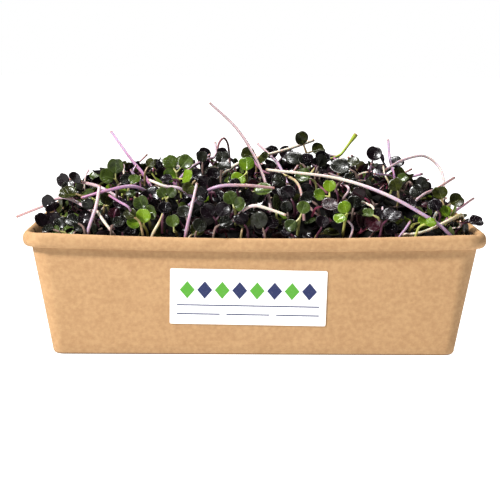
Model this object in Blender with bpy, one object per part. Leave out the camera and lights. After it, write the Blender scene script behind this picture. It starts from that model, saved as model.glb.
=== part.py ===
"""Cut radish microgreens heaped in a kraft board tray with a rolled rim.

Metres, +Z up. The origin is on the surface that the tray stands on, under its middle. The long
side runs along X, and the label is on the -Y side. The greens are cut sprouts: bare stems, pairs
of seed leaves on their stalks, and a heap of dark leaves that they stand in.
"""

import math
import random

import bmesh
import bpy
import numpy as np
from mathutils import Matrix, Vector

MM = 0.001

# The tray, over its rim and over its foot
RIM_LENGTH = 167 * MM
RIM_WIDTH = 120 * MM
FOOT_LENGTH = 146.8 * MM
UNDER_RIM_LENGTH = 161 * MM
TRAY_HEIGHT = 45.8 * MM
FOOT_CORNER_RADIUS = 4 * MM
RIM_CORNER_RADIUS = 8 * MM
BOARD = 0.6 * MM
GAP = 0.3 * MM

# The rolled rim
BEAD_HEIGHT = 5.4 * MM
BEAD_TURN_DEGREES = 300
BEAD_STEPS = 10
RIM_DIP = 1.6 * MM

# The foot: the wall's hem turned in round the panel's turned-down edge
HEM_HEIGHT = 5 * MM
FOOT_ROUNDING = 0.4 * MM
PANEL_HEIGHT = 6.6 * MM
PANEL_EDGE_BOTTOM = 1 * MM

# The glued overlap of the wall, on the right-hand end
LAP_CENTRE_Y = -26 * MM
LAP_WIDTH = 8 * MM
LAP_EDGE = 0.15 * MM
LAP_RISE = 0.5 * MM

CORNER_STEPS = 6
LONG_SIDE_POINTS = 4

# The label on the front wall
LABEL_WIDTH = 56.6 * MM
LABEL_HEIGHT = 21.1 * MM
LABEL_THICKNESS = 0.25 * MM
LABEL_STANDOFF = 0.35 * MM
LABEL_CORNER = 0.6 * MM
LABEL_CORNER_STEPS = 2
LABEL_CENTRE_X = -2.3 * MM
LABEL_CENTRE_Z = 22.1 * MM
LABEL_TILT = math.radians(-0.85)

# The heap: leaf tips reach a low dome that falls off at the rim
HEAP_EDGE_HEIGHT = 47 * MM
HEAP_RISE = 23 * MM
HEAP_HALF_LENGTH = 84 * MM
HEAP_HALF_WIDTH = 58 * MM
CORE_UNDER_TIPS = 6 * MM
CORE_INSET = 1.07
CORE_SHOULDER = 40 * MM
CORE_FROM_WALL = 0.5 * MM
CORE_RINGS = (0.97, 0.9, 0.76, 0.56, 0.3)

# The dark leaves that cover the heap, larger than life
HEAP_SEED = 7
HEAP_LEAF_LENGTH = 9.0 * MM
HEAP_LEAF_WIDTH = 10.0 * MM
HEAP_LEAF_DEGREES = (0, 40, 105, 180, -105, -40)
HEAP_PAIR_SPACING = 11.8 * MM
HEAP_GAP = 8.8 * MM
HEAP_DARTS = 6000
HEAP_TRIES = 40
HEAP_SMALLEST = 0.55
FILLER_LARGEST = 0.8
HEAP_LEAN = 0.35
HEAP_OPENING_DEGREES = (35, 68)
HEAP_SIZES = (0.92, 1.08)
HEAP_FACE_TURN = 0.3
ROOT_DEPTH = 1.6 * MM
ROOT_APART = 1.1 * MM
ROOT_FROM_WALL = 1.5 * MM

# Every leaf
LEAF_THICKNESS = 0.7 * MM
LEAF_FOLD = 0.22
NOTCH_DEPTH = 0.16
NOTCH_DEGREES = 20
TIP_DRAWN_OUT = 0.08
PROBE_DEGREES = 24
LEAF_OVERHANG = 2.5 * MM
LEAF_OUTLINE_DEGREES = (0, 32, 78, 128, 180, -128, -78, -32)
LEAF_CLEAR = 0.45 * MM
STEM_CLEAR = 0.5 * MM
STEM_MARGIN = 1.4 * MM
CUT_CLEAR = 0.35 * MM

# Stems
CURVE_SAMPLES = 16
STEM_SPACING = 1.5 * MM
TUBE_SPACING = 6 * MM
STEM_SIDES = 5
STALK_RADIUS = 0.75 * MM
STALK_FOOT_SCALE = (0.96, 0.9)
STALK_FOOT_DEPTH = 5 * MM
STALK_BOW = 1 * MM
BEND_REACH = 6 * MM
BEND_ROUNDS = 60
BEND_SHARE = 0.55

# How a leaf that is in the way of something is tried again
SETTLE_TRIES = 160
SETTLE_TRIES_PER_MM = 40
SETTLE_FACING = (0, -1, 0.55)
SETTLE_TURN = 0.35

# Bare stems: name, radius in mm, colour, and the points of its route in mm, the sunk end last
STEMS = (
    ("stem_01", 0.75, "pink", ((-90, -20, 47), (-79, -28, 52), (-70, -36, 56), (-58, -42, 51))),
    ("stem_02", 0.9, "pink", ((-73, -10, 61), (-65, -18, 60), (-58, -26, 59), (-48, -30, 54))),
    ("stem_03", 0.9, "magenta", ((-63, -46, 57), (-53, -47, 60), (-43, -45, 61), (-34, -38, 54))),
    ("stem_04", 0.9, "pink", ((-39, -38, 63), (-33, -41, 61), (-27, -42, 60), (-20, -38, 54))),
    ("stem_05", 0.9, "lilac", ((7, -46, 61), (-4, -47, 62), (-15, -46, 61), (-24, -40, 54))),
    ("stem_06", 0.95, "pink", ((-56, -50, 62), (-57, -53, 55), (-60, -54.5, 45), (-60, -49, 36))),
    ("stem_07", 0.8, "cream", ((-57, -51, 53), (-54, -53.5, 49), (-50, -54.5, 44), (-46, -48, 36))),
    ("stem_08", 0.85, "magenta", ((-56, 5, 78), (-48, -8, 69), (-41, -19, 62), (-36, -28, 54))),
    ("stem_09", 0.8, "cream", ((-32, -50, 55), (-34, -53.5, 50), (-37, -54.5, 44), (-38, -48, 36))),
    ("stem_10", 0.85, "lilac", ((-21, -50, 63), (-23, -53.5, 54), (-25, -54.5, 44), (-25, -48, 36))),
    ("stem_11", 0.8, "pink", ((-17, -8, 90), (-7, -14, 81), (0, -24, 71), (4, -38, 62), (6, -45, 52))),
    ("stem_12", 0.75, "pink", ((-15, 5, 74), (-15, 0, 69), (-19, -8, 68), (-25, -15, 65), (-32, -20, 57))),
    ("stem_13", 0.6, "red", ((-14, 13, 68), (-14, 15, 72), (-12, 17, 75), (-10, 19, 72), (-9, 20, 61))),
    ("stem_14", 0.95, "cream", ((24, 8, 75), (8, 0, 70), (-5, -5, 67), (-18, -12, 58))),
    ("stem_15", 0.8, "pink", ((2, 12, 73), (7, 2, 69), (10, -14, 66), (14, -26, 57))),
    ("stem_16", 0.9, "lilac", ((4, -38, 67), (31, -41, 64), (52, -50, 57), (70, -53.5, 45), (74, -48, 38))),
    ("stem_17", 0.8, "bright", ((41, 12, 77), (37, 9, 72), (34, 6, 69), (26, 0, 66), (18, -4, 57))),
    ("stem_18", 0.75, "lilac", ((54, 12, 75), (54, 5, 68), (55, -6, 61), (55, -12, 53))),
    ("stem_19", 0.8, "cream", ((51, -10, 65), (59, 0, 68), (68, 6, 69), (74, 4, 64), (74, -8, 57),
                               (69, -28, 49), (66, -34, 42))),
    ("stem_20", 0.8, "pink", ((79, 0, 61), (71, -12, 58), (64, -20, 56), (56, -28, 50))),
    ("stem_21", 0.75, "pink", ((89.7, 18, 51), (83, -4, 51), (74, -22, 48), (66, -34, 40))),
    ("stem_22", 0.9, "cream", ((50, -54, 45), (59, -54, 46), (70, -50, 50), (76, -42, 51), (77, -32, 45))),
    ("stem_23", 0.85, "cream", ((11, -53.5, 52), (5, -53, 54), (-2, -52, 55), (-9, -47, 48))),
    ("stem_24", 0.65, "pink", ((33, -54, 51), (35, -54.5, 48), (34, -54.5, 44), (32, -49, 37))),
    ("stem_25", 0.75, "bright", ((10, -33, 65), (15, -41, 63), (17, -48, 58), (18, -48, 48))),
    ("stem_26", 0.7, "lilac", ((56, -53.5, 50), (54, -54.5, 47), (51, -54.5, 43), (48, -49, 36))),
)

# Leaf pairs: colour, leaf width, the end of the stalk, and each leaf's tip, all in mm
LEAF_PAIRS = (
    ("green", 6.3, (-52, -26, 62), (-52, -26, 70), (-58, -28, 64)),
    ("green", 6.0, (-29, -30, 65), (-33, -28, 71), (-24, -28, 71)),
    ("bright", 5.6, (-28, -35, 63), (-34, -37, 65), (-23, -39, 65)),
    ("bright", 5.6, (-40, -54, 48), (-46, -54, 50), (-40, -53, 54)),
    ("green", 5.6, (-39, -52, 52), (-43, -51, 57), (-35, -53, 54)),
    ("green", 5.0, (-29, -54, 46), (-30, -53, 52), (-24, -54, 45)),
    ("green", 4.2, (-32, -49, 57), (-35, -49, 61), (-29, -49, 61)),
    ("bright", 6.0, (-3, -31, 65), (-3, -28, 71), (-8, -35, 62)),
    ("green", 5.4, (-8, -51, 54), (-10, -49, 60), (-3, -52, 56)),
    ("olive", 6.0, (1, -8, 69), (-5, -8, 71), (5, -13, 69)),
    ("olive", 5.8, (21, 4, 70), (16, 6, 78), (28, 7, 72)),
    ("bright", 4.8, (27, -47, 58), (27, -45, 64), (21, -48, 59)),
    ("bright", 5.2, (33, -54, 52), (31, -53, 57), (27, -55, 49)),
    ("green", 5.0, (16, -54, 51), (18, -53, 57), (11, -55, 47)),
    ("bright", 4.8, (57, -53, 49), (59, -52, 55), (63, -52, 50)),
    ("bright", 5.2, (71, -46, 50), (76, -44, 54), (68, -44, 55)),
    ("dark", 6.0, (-74, -34, 51), (-79, -32, 58), (-73, -32, 57)),
    ("dark", 5.8, (-77, -39, 45), (-82, -38, 50), (-71, -41, 50)),
    ("dark", 6.2, (46, -2, 65.5), (48, 0, 73), (51, -7, 63)),
    ("olive", 6.0, (71, -30, 53), (69, -26, 60), (78, -28, 56)),
    ("dark", 6.4, (53, 5, 64), (59, 8, 68), (48, 0, 69)),
    ("dark", 5.6, (-69, -16, 57), (-73, -14, 62), (-64, -18, 61)),
    ("dark", 6.8, (-39, -46, 57), (-43, -43, 63), (-34, -47, 60)),
    ("dark", 6.2, (-16, 9, 65), (-22, 9, 70.5), (-10, 10, 70.5)),
    ("dark", 6.0, (-14, -53, 50), (-19, -52, 55), (-10, -53, 56)),
    ("dark", 6.2, (79, -36, 46), (85, -33, 51), (74, -42, 48)),
    ("dark", 5.8, (10, 12, 65.5), (6, 14, 72), (15, 13, 71.5)),
    ("dark", 6.0, (24, -12, 66), (28, -8, 71), (18, -10, 70)),
    ("maroon", 6.8, (38, -54, 46), (45, -53, 51), (35, -53, 52)),
)

# Colours (linear), roughness
FINISHES = {
    "kraft": ((0.63, 0.38, 0.19, 1), 0.75),
    "kraft_panel": ((0.60, 0.36, 0.18, 1), 0.75),
    "label_paper": ((0.90, 0.90, 0.88, 1), 0.45),
    "dark": ((0.020, 0.010, 0.018, 1), 0.35),
    "maroon": ((0.060, 0.010, 0.022, 1), 0.35),
    "olive": ((0.060, 0.080, 0.020, 1), 0.4),
    "green": ((0.050, 0.110, 0.025, 1), 0.4),
    "bright": ((0.170, 0.330, 0.030, 1), 0.4),
    "pink": ((0.72, 0.42, 0.50, 1), 0.45),
    "magenta": ((0.55, 0.20, 0.42, 1), 0.45),
    "lilac": ((0.50, 0.33, 0.52, 1), 0.45),
    "cream": ((0.75, 0.66, 0.50, 1), 0.45),
    "red": ((0.28, 0.07, 0.09, 1), 0.45),
}

FOOT_WIDTH = RIM_WIDTH - (RIM_LENGTH - FOOT_LENGTH)
FLARE = (RIM_LENGTH - FOOT_LENGTH) / 2
CORNER_GROWTH = (RIM_CORNER_RADIUS - FOOT_CORNER_RADIUS) / FLARE
LEAN = (UNDER_RIM_LENGTH - FOOT_LENGTH) / 2 / (TRAY_HEIGHT - BEAD_HEIGHT)
BEAD_MIDDLE = TRAY_HEIGHT - BEAD_HEIGHT / 2


# Tray


def outline_stations():
    """Points round the tray: shares of the way to a corner's centre, the way outwards, on the lap or not."""
    stations = []

    def corner(sign_x, sign_y, start):
        for step in range(CORNER_STEPS + 1):
            angle = start + step * math.pi / 2 / CORNER_STEPS
            stations.append((sign_x, sign_y, math.cos(angle), math.sin(angle), False))

    def long_side(sign_y):
        for step in range(1, LONG_SIDE_POINTS + 1):
            share_x = sign_y * (1 - 2 * step / (LONG_SIDE_POINTS + 1))
            stations.append((share_x, sign_y, 0, sign_y, False))

    corner(1, -1, -math.pi / 2)
    lap_start, lap_end = LAP_CENTRE_Y - LAP_WIDTH / 2, LAP_CENTRE_Y + LAP_WIDTH / 2
    for y, lapped in (
        (lap_start - LAP_EDGE, False),
        (lap_start + LAP_EDGE, True),
        (lap_end - LAP_EDGE, True),
        (lap_end + LAP_EDGE, False),
    ):
        stations.append((1, y / (FOOT_WIDTH / 2), 1, 0, lapped))
    corner(1, 1, 0)
    long_side(1)
    corner(-1, 1, math.pi / 2)
    stations.append((-1, 0, -1, 0, False))
    corner(-1, -1, math.pi)
    long_side(-1)
    return stations


STATIONS = outline_stations()


def corner_at(offset):
    """The corner's radius, and its centre's x and y, at an offset outwards from the foot's outer edge."""
    radius = FOOT_CORNER_RADIUS + CORNER_GROWTH * offset
    return radius, FOOT_LENGTH / 2 + offset - radius, FOOT_WIDTH / 2 + offset - radius


def around_tray(station, offset, height):
    """The point of a station, offset outwards from the foot's outer edge, with the rim's dip."""
    share_x, share_y, out_x, out_y, _ = station
    radius, centre_x, centre_y = corner_at(offset)
    x = share_x * centre_x + radius * out_x
    y = share_y * centre_y + radius * out_y
    dip = RIM_DIP * max(0, 1 - (2 * x / FOOT_LENGTH) ** 2) * (height / TRAY_HEIGHT) ** 3
    return Vector((x, y, height - dip))


def wall_profile():
    """The board's section from the hem up the wall and round the rim: offset, height, on the lap."""
    inner = -BOARD
    hem_outer = inner - 2 * GAP - BOARD
    hem_inner = hem_outer - BOARD
    points = [
        (-FOOT_ROUNDING, 0, False),
        (hem_inner + FOOT_ROUNDING, 0, False),
        (hem_inner + LEAN * FOOT_ROUNDING, FOOT_ROUNDING, False),
        (hem_inner + LEAN * HEM_HEIGHT, HEM_HEIGHT, False),
        (hem_outer + LEAN * HEM_HEIGHT, HEM_HEIGHT, False),
        (hem_outer + LEAN * BOARD, BOARD, False),
        (inner + LEAN * BOARD, BOARD, False),
    ]
    bead_inside = inner + LEAN * BEAD_MIDDLE
    half_width = (FLARE - bead_inside) / 2
    half_height = BEAD_HEIGHT / 2
    turn = [math.pi - math.radians(BEAD_TURN_DEGREES) * step / BEAD_STEPS for step in range(BEAD_STEPS + 1)]

    def bead(angle, depth):
        across = bead_inside + half_width + (half_width - depth) * math.cos(angle)
        return across, BEAD_MIDDLE + (half_height - depth) * math.sin(angle), False

    points += [bead(angle, 0) for angle in turn]
    points += [bead(angle, BOARD) for angle in reversed(turn)]
    under_bead = TRAY_HEIGHT - BEAD_HEIGHT - BOARD
    points.append((LEAN * under_bead, under_bead, True))
    points.append((LEAN * FOOT_ROUNDING, FOOT_ROUNDING, True))
    return points


def swept_ring(name, profile, finish):
    """A closed section carried round the tray."""
    mesh = bmesh.new()
    rings = []
    for station in STATIONS:
        lap = LAP_RISE if station[4] else 0
        rings.append([
            mesh.verts.new(around_tray(station, offset + (lap if on_lap else 0), height))
            for offset, height, on_lap in profile
        ])
    for ring, following in zip(rings, rings[1:] + rings[:1]):
        for k in range(len(profile)):
            mesh.faces.new((ring[k - 1], ring[k], following[k], following[k - 1]))
    return finished(name, mesh, finish)


def build_wall():
    return swept_ring("tray_wall", wall_profile(), "kraft")


def build_base():
    """The bottom panel, with its edge turned down between the wall and the hem."""
    outer = -BOARD - GAP
    inner = outer - BOARD
    panel_under = PANEL_HEIGHT - BOARD
    mesh = bmesh.new()

    def ring(offset, height):
        return [mesh.verts.new(around_tray(s, offset + LEAN * height, height)) for s in STATIONS]

    rings = [
        ring(outer, PANEL_HEIGHT),
        ring(outer, PANEL_EDGE_BOTTOM),
        ring(inner, PANEL_EDGE_BOTTOM),
        ring(inner, panel_under),
    ]
    for upper, lower in zip(rings, rings[1:]):
        for k in range(len(STATIONS)):
            mesh.faces.new((upper[k - 1], upper[k], lower[k], lower[k - 1]))
    for edge_ring in (rings[0], rings[-1]):
        level = edge_ring[0].co.z
        for vert in edge_ring:
            vert.co.z = level
        mesh.faces.new(edge_ring)
    return finished("tray_base", mesh, "kraft_panel")


def build_label():
    """The sticker's sheet, parallel to the front wall and a little askew."""
    half_width, half_height = LABEL_WIDTH / 2, LABEL_HEIGHT / 2
    mesh = bmesh.new()
    outline = []
    for quarter, (sign_x, sign_z) in enumerate(((1, 1), (-1, 1), (-1, -1), (1, -1))):
        for step in range(LABEL_CORNER_STEPS + 1):
            angle = (quarter + step / LABEL_CORNER_STEPS) * math.pi / 2
            outline.append(mesh.verts.new((
                sign_x * (half_width - LABEL_CORNER) + LABEL_CORNER * math.cos(angle),
                0,
                sign_z * (half_height - LABEL_CORNER) + LABEL_CORNER * math.sin(angle),
            )))
    sheet = mesh.faces.new(outline)
    front = bmesh.ops.extrude_face_region(mesh, geom=[sheet])["geom"]
    moved = [item for item in front if isinstance(item, bmesh.types.BMVert)]
    bmesh.ops.translate(mesh, verts=moved, vec=(0, -LABEL_THICKNESS, 0))
    label = finished("label", mesh, "label_paper")
    wall_lean = Matrix.Rotation(math.atan(LEAN), 4, "X")
    askew = Matrix.Rotation(-LABEL_TILT, 4, "Y")
    wall_y = -(FOOT_WIDTH / 2 + LEAN * LABEL_CENTRE_Z)
    place = Matrix.Translation((LABEL_CENTRE_X, wall_y - LABEL_STANDOFF, LABEL_CENTRE_Z))
    label.matrix_world = place @ wall_lean @ askew
    return label


# Stems and leaves


def curve_through(points, spacing):
    """A smooth curve through the points, with a point about every `spacing`."""
    points = np.array(points, float)
    ends = np.vstack([2 * points[0] - points[1], points, 2 * points[-1] - points[-2]])
    fine = []
    for a, b, c, d in zip(ends, ends[1:], ends[2:], ends[3:]):
        slope, bend, twist = c - a, 2 * a - 5 * b + 4 * c - d, 3 * b - a - 3 * c + d
        for t in np.linspace(0, 1, CURVE_SAMPLES, endpoint=False):
            fine.append(b + (slope * t + bend * t**2 + twist * t**3) / 2)
    fine = np.array(fine + [points[-1]])
    along = np.concatenate([[0], np.cumsum(np.linalg.norm(np.diff(fine, axis=0), axis=1))])
    count = max(3, round(along[-1] / spacing) + 1)
    marks = np.linspace(0, along[-1], count)
    return np.array([np.interp(marks, along, fine[:, axis]) for axis in range(3)]).T


def heap_top(x, y):
    """How high the leaf tips reach."""
    fall_x = 1 - min(1, abs(x / HEAP_HALF_LENGTH)) ** 5
    fall_y = 1 - min(1, abs(y / HEAP_HALF_WIDTH)) ** 3
    return HEAP_EDGE_HEIGHT + HEAP_RISE * fall_x * fall_y


def core_top(x, y):
    """The surface that the heap's leaves are rooted in."""
    return heap_top(CORE_INSET * x, CORE_INSET * y) - CORE_UNDER_TIPS


def inside_wall(x, y, height):
    """How far a point is inside the wall's inner face, negative outside it."""
    radius, centre_x, centre_y = corner_at(LEAN * height - BOARD)
    past_x, past_y = abs(x) - centre_x, abs(y) - centre_y
    if past_x > 0 and past_y > 0:
        return radius - math.hypot(past_x, past_y)
    return radius - max(past_x, past_y)


def clear_of_tray(point, margin):
    x, y, z = point
    if z > TRAY_HEIGHT + margin:
        return abs(x) < RIM_LENGTH / 2 + LEAF_OVERHANG and abs(y) < RIM_WIDTH / 2
    return inside_wall(x, y, min(z, BEAD_MIDDLE)) > margin


def stalk_route(top):
    """A leaf pair's stalk: from its leaves down into the heap's core."""
    x, y, z = top
    foot_x, foot_y = STALK_FOOT_SCALE[0] * x, STALK_FOOT_SCALE[1] * y
    foot_z = core_top(foot_x, foot_y) - STALK_FOOT_DEPTH
    middle = ((x + foot_x) / 2, (y + foot_y) / 2, (z + foot_z) / 2 + STALK_BOW)
    return (top, middle, (foot_x, foot_y, foot_z))


def bend_clear(routes, radii):
    """Bends stems that come too near each other, so that each passes beside the next."""
    for _ in range(BEND_ROUNDS):
        touching = False
        for i, route in enumerate(routes):
            for j in range(i):
                other = routes[j]
                between = route[:, None] - other[None]
                distance = np.linalg.norm(between, axis=2)
                needed = radii[i] + radii[j] + STEM_CLEAR
                if distance.min() >= needed:
                    continue
                touching = True
                a, b = np.unravel_index(distance.argmin(), distance.shape)
                push = between[a, b] / distance[a, b] * (needed - distance[a, b]) * BEND_SHARE
                for stem, at, way in ((route, a, 1), (other, b, -1)):
                    steps = (np.arange(len(stem)) - at) * STEM_SPACING / BEND_REACH
                    stem += way * np.exp(-(steps**2))[:, None] * push
        if not touching:
            break


class Leaf:
    """One seed leaf: where its stalk ends, where its tip is, its width and the way that it faces."""

    def __init__(self, base, tip, width, facing, degrees=LEAF_OUTLINE_DEGREES):
        self.base, self.tip, self.width, self.degrees = Vector(base), Vector(tip), width, degrees
        along = self.tip - self.base
        self.length = along.length
        self.along = along.normalized()
        self.side = self.along.cross(Vector(facing)).normalized()
        self.face = self.side.cross(self.along)
        self.middle = (self.base + self.tip) / 2

    def outline(self, shrink=1.0, turns=None):
        """Points round the leaf as (across, along) from its middle: a round heart, notched at the tip."""
        points = []
        for degrees in turns or self.degrees:
            turn = math.radians(degrees)
            notch = 1 - NOTCH_DEPTH * math.exp(-((degrees / NOTCH_DEGREES) ** 2))
            points.append((
                shrink * self.width / 2 * math.sin(turn) * notch,
                shrink * self.length / 2 * math.cos(turn) * notch * (1 + TIP_DRAWN_OUT * math.cos(turn)),
            ))
        return points

    def point(self, across, along, lift=0.0):
        raised = lift + LEAF_FOLD * abs(across)
        return self.middle + self.side * across + self.along * along + self.face * raised

    def probes(self):
        turns = range(-180, 180, PROBE_DEGREES)
        rims = self.outline(1.0, turns) + self.outline(0.5, turns[::2]) + [(0, 0)]
        return np.array([self.point(across, along) for across, along in rims])

    def touches(self, points, margin):
        """Whether any of the points is nearer to the leaf's blade than the margin."""
        if len(points) == 0:
            return False
        offset = points - np.array(self.middle)
        across = offset @ np.array(self.side)
        along = offset @ np.array(self.along)
        height = offset @ np.array(self.face) - LEAF_FOLD * np.abs(across)
        in_blade = (across / (self.width / 2 + margin)) ** 2 + (along / (self.length / 2 + margin)) ** 2 < 1
        return bool((in_blade & (np.abs(height) < LEAF_THICKNESS / 2 + margin)).any())


def leaf_is_clear(leaf, stem_points, stem_margin, leaves):
    probes = leaf.probes()
    if not all(clear_of_tray(probe, LEAF_CLEAR + LEAF_THICKNESS / 2) for probe in probes):
        return False
    if leaf.touches(stem_points, stem_margin):
        return False
    margin = LEAF_CLEAR + LEAF_THICKNESS / 2
    for other in leaves:
        if (leaf.middle - other.middle).length > leaf.width + other.width:
            continue
        if other.touches(probes, margin) or leaf.touches(other.probes(), margin):
            return False
    return True


def tube(name, route, radius, finish, sides=STEM_SIDES, grow=0.0):
    """A stem along a route, with flat ends. `grow` makes it a cutter for its own hole."""
    mesh = bmesh.new()
    route = [Vector(point) for point in route]
    if grow:
        route[0] += (route[0] - route[1]).normalized() * grow
        route[-1] += (route[-1] - route[-2]).normalized() * grow
    across = (route[1] - route[0]).orthogonal().normalized()
    rings = []
    for k, point in enumerate(route):
        ahead = (route[min(k + 1, len(route) - 1)] - route[max(k - 1, 0)]).normalized()
        across = (across - ahead * across.dot(ahead)).normalized()
        up = ahead.cross(across)
        rings.append([
            mesh.verts.new(point + (radius + grow) * (across * math.cos(turn) + up * math.sin(turn)))
            for turn in (2 * math.pi * side / sides for side in range(sides))
        ])
    for ring, following in zip(rings, rings[1:]):
        for k in range(sides):
            mesh.faces.new((ring[k - 1], ring[k], following[k], following[k - 1]))
    mesh.faces.new(rings[0])
    mesh.faces.new(rings[-1])
    return finished(name, mesh, finish)


def blade(name, leaf, finish, grow=0.0):
    """A leaf folded along its rib, both faces split into the same triangles."""
    mesh = bmesh.new()
    outline = leaf.outline(1 + 2 * grow / leaf.width)
    half = LEAF_THICKNESS / 2 + grow
    upper, lower = (
        [mesh.verts.new(leaf.point(across, along, lift)) for across, along in outline]
        for lift in (half, -half)
    )
    base = leaf.degrees.index(180)
    count = len(outline)
    for k in range(count):
        following = (k + 1) % count
        mesh.faces.new((upper[k], upper[following], lower[following], lower[k]))
        if base not in (k, following):
            mesh.faces.new((upper[base], upper[k], upper[following]))
            mesh.faces.new((lower[base], lower[following], lower[k]))
    return finished(name, mesh, finish)


def plan_sprouts():
    """Routes of the bare stems and stalks, bent clear of each other, and the leaves of each pair."""
    routes = [curve_through(np.array(points) * MM, STEM_SPACING) for _, _, _, points in STEMS]
    radii = [radius * MM for _, radius, _, _ in STEMS]
    for _, _, top, *_ in LEAF_PAIRS:
        routes.append(curve_through(stalk_route(np.array(top) * MM), STEM_SPACING))
        radii.append(STALK_RADIUS)
    bend_clear(routes, radii)
    settled, pairs = [], []
    for number, (_, width, _, *tips) in enumerate(LEAF_PAIRS):
        own = len(STEMS) + number
        others = np.vstack([route for k, route in enumerate(routes) if k != own])
        base = Vector(routes[own][0])
        draw = random.Random(number)
        pair = []
        for tip in tips:
            leaf = settle(base, Vector(tip) * MM, width * MM, draw, others, settled)
            if leaf:
                pair.append(leaf)
        pairs.append(pair)
        settled += pair
    return routes, radii, pairs, settled


def settle(base, tip, width, draw, stem_points, leaves):
    """The leaf as wished for, or turned a little at a time until it is clear of what is near it."""
    for attempt in range(SETTLE_TRIES):
        loose = attempt / SETTLE_TRIES_PER_MM
        shift = Vector([draw.uniform(-1, 1) for _ in range(3)]) * loose * MM
        turn = Vector([draw.uniform(-1, 1) for _ in range(3)]) * loose * SETTLE_TURN
        facing = Vector(SETTLE_FACING) + turn
        leaf = Leaf(base, tip + shift, width, facing)
        if leaf_is_clear(leaf, stem_points, STEM_MARGIN, leaves):
            return leaf
    return None


def heap_normal(x, y):
    step = 1 * MM
    slope_x = (core_top(x + step, y) - core_top(x - step, y)) / (2 * step)
    slope_y = (core_top(x, y + step) - core_top(x, y - step)) / (2 * step)
    return Vector((-slope_x, -slope_y, 1)).normalized()


def plan_heap(stem_points, leaves):
    """Dark leaves all over the heap, rooted in the core: pairs first, then single ones in the gaps."""
    draw = random.Random(HEAP_SEED)
    roots, dark = [], []

    def random_root():
        x = draw.uniform(-RIM_LENGTH, RIM_LENGTH) / 2
        y = draw.uniform(-RIM_WIDTH, RIM_WIDTH) / 2
        return Vector((x, y, core_top(x, y)))

    def has_room(root, others, spacing):
        inside = inside_wall(root.x, root.y, CORE_SHOULDER) > ROOT_FROM_WALL
        return inside and all((root - other).length > spacing for other in others)

    for _ in range(HEAP_DARTS):
        root = random_root()
        if has_room(root, roots, HEAP_PAIR_SPACING):
            grown = grow(root, (1, -1), 1, draw, stem_points, leaves)
            roots += [root] * bool(grown)
            dark += grown
    for _ in range(HEAP_DARTS):
        root = random_root()
        if has_room(root, [leaf.middle for leaf in dark + leaves], HEAP_GAP):
            dark += grow(root, (1,), FILLER_LARGEST, draw, stem_points, leaves)
    return dark


def grow(root, ways, largest, draw, stem_points, leaves):
    """Leaves that open from one root, smaller where the room is small, or none if no way is clear."""
    normal = heap_normal(root.x, root.y)
    base = root - normal * ROOT_DEPTH
    for attempt in range(HEAP_TRIES):
        shrink = largest - (largest - HEAP_SMALLEST) * attempt / HEAP_TRIES
        lean = Vector([draw.uniform(-1, 1) for _ in range(3)]) * HEAP_LEAN
        axis = (normal + lean).normalized()
        turn = draw.uniform(0, math.pi)
        side = Matrix.Rotation(turn, 3, axis) @ axis.orthogonal().normalized()
        grown = []
        for way in ways:
            opening = math.radians(draw.uniform(*HEAP_OPENING_DEGREES))
            size = draw.uniform(*HEAP_SIZES) * shrink
            along = axis * math.cos(opening) + side * way * math.sin(opening)
            root_end = base + side * way * ROOT_APART
            tip = root_end + along * (HEAP_LEAF_LENGTH * size + ROOT_DEPTH)
            facing = axis - side * way * HEAP_FACE_TURN
            grown.append(Leaf(root_end, tip, HEAP_LEAF_WIDTH * size, facing, HEAP_LEAF_DEGREES))
        if all(leaf_is_clear(leaf, stem_points, STEM_MARGIN, leaves) for leaf in grown):
            return grown
    return []


# Solids of the greens


def build_core():
    """The heap's inner mass: it fills the tray and rises to just under the leaf tips."""
    mesh = bmesh.new()
    clear = -BOARD - CORE_FROM_WALL
    low = PANEL_HEIGHT + GAP
    stations = STATIONS[::2]

    def ring(offset, height, scale):
        verts = []
        for station in stations:
            point = around_tray(station, offset, height)
            x, y = point.x * scale, point.y * scale
            z = height if scale == 1 else core_top(x, y)
            verts.append(mesh.verts.new((x, y, z)))
        return verts

    rings = [ring(clear + LEAN * low, low, 1), ring(clear + LEAN * CORE_SHOULDER, CORE_SHOULDER, 1)]
    rings += [ring(clear + LEAN * CORE_SHOULDER, CORE_SHOULDER, scale) for scale in CORE_RINGS]
    for lower, upper in zip(rings, rings[1:]):
        for k in range(len(stations)):
            mesh.faces.new((lower[k - 1], lower[k], upper[k], upper[k - 1]))
    mesh.faces.new(rings[0])
    summit = mesh.verts.new((0, 0, core_top(0, 0)))
    for k in range(len(stations)):
        mesh.faces.new((rings[-1][k - 1], rings[-1][k], summit))
    return finished("greens_heap", mesh, "dark")


def apply_boolean(target, others, operation):
    """Joins or cuts a whole collection at once, then removes its objects."""
    if not others:
        return
    group = bpy.data.collections.new(operation.lower())
    bpy.context.scene.collection.children.link(group)
    for other in others:
        group.objects.link(other)
        bpy.context.scene.collection.objects.unlink(other)
    modifier = target.modifiers.new(operation.lower(), "BOOLEAN")
    modifier.operation = operation
    modifier.operand_type = "COLLECTION"
    modifier.collection = group
    modifier.solver = "MANIFOLD"
    bpy.context.view_layer.update()
    evaluated = target.evaluated_get(bpy.context.evaluated_depsgraph_get())
    result = bpy.data.meshes.new_from_object(evaluated)
    target.modifiers.clear()
    target.data = result
    for other in others:
        bpy.data.objects.remove(other)
    bpy.data.collections.remove(group)


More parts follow.
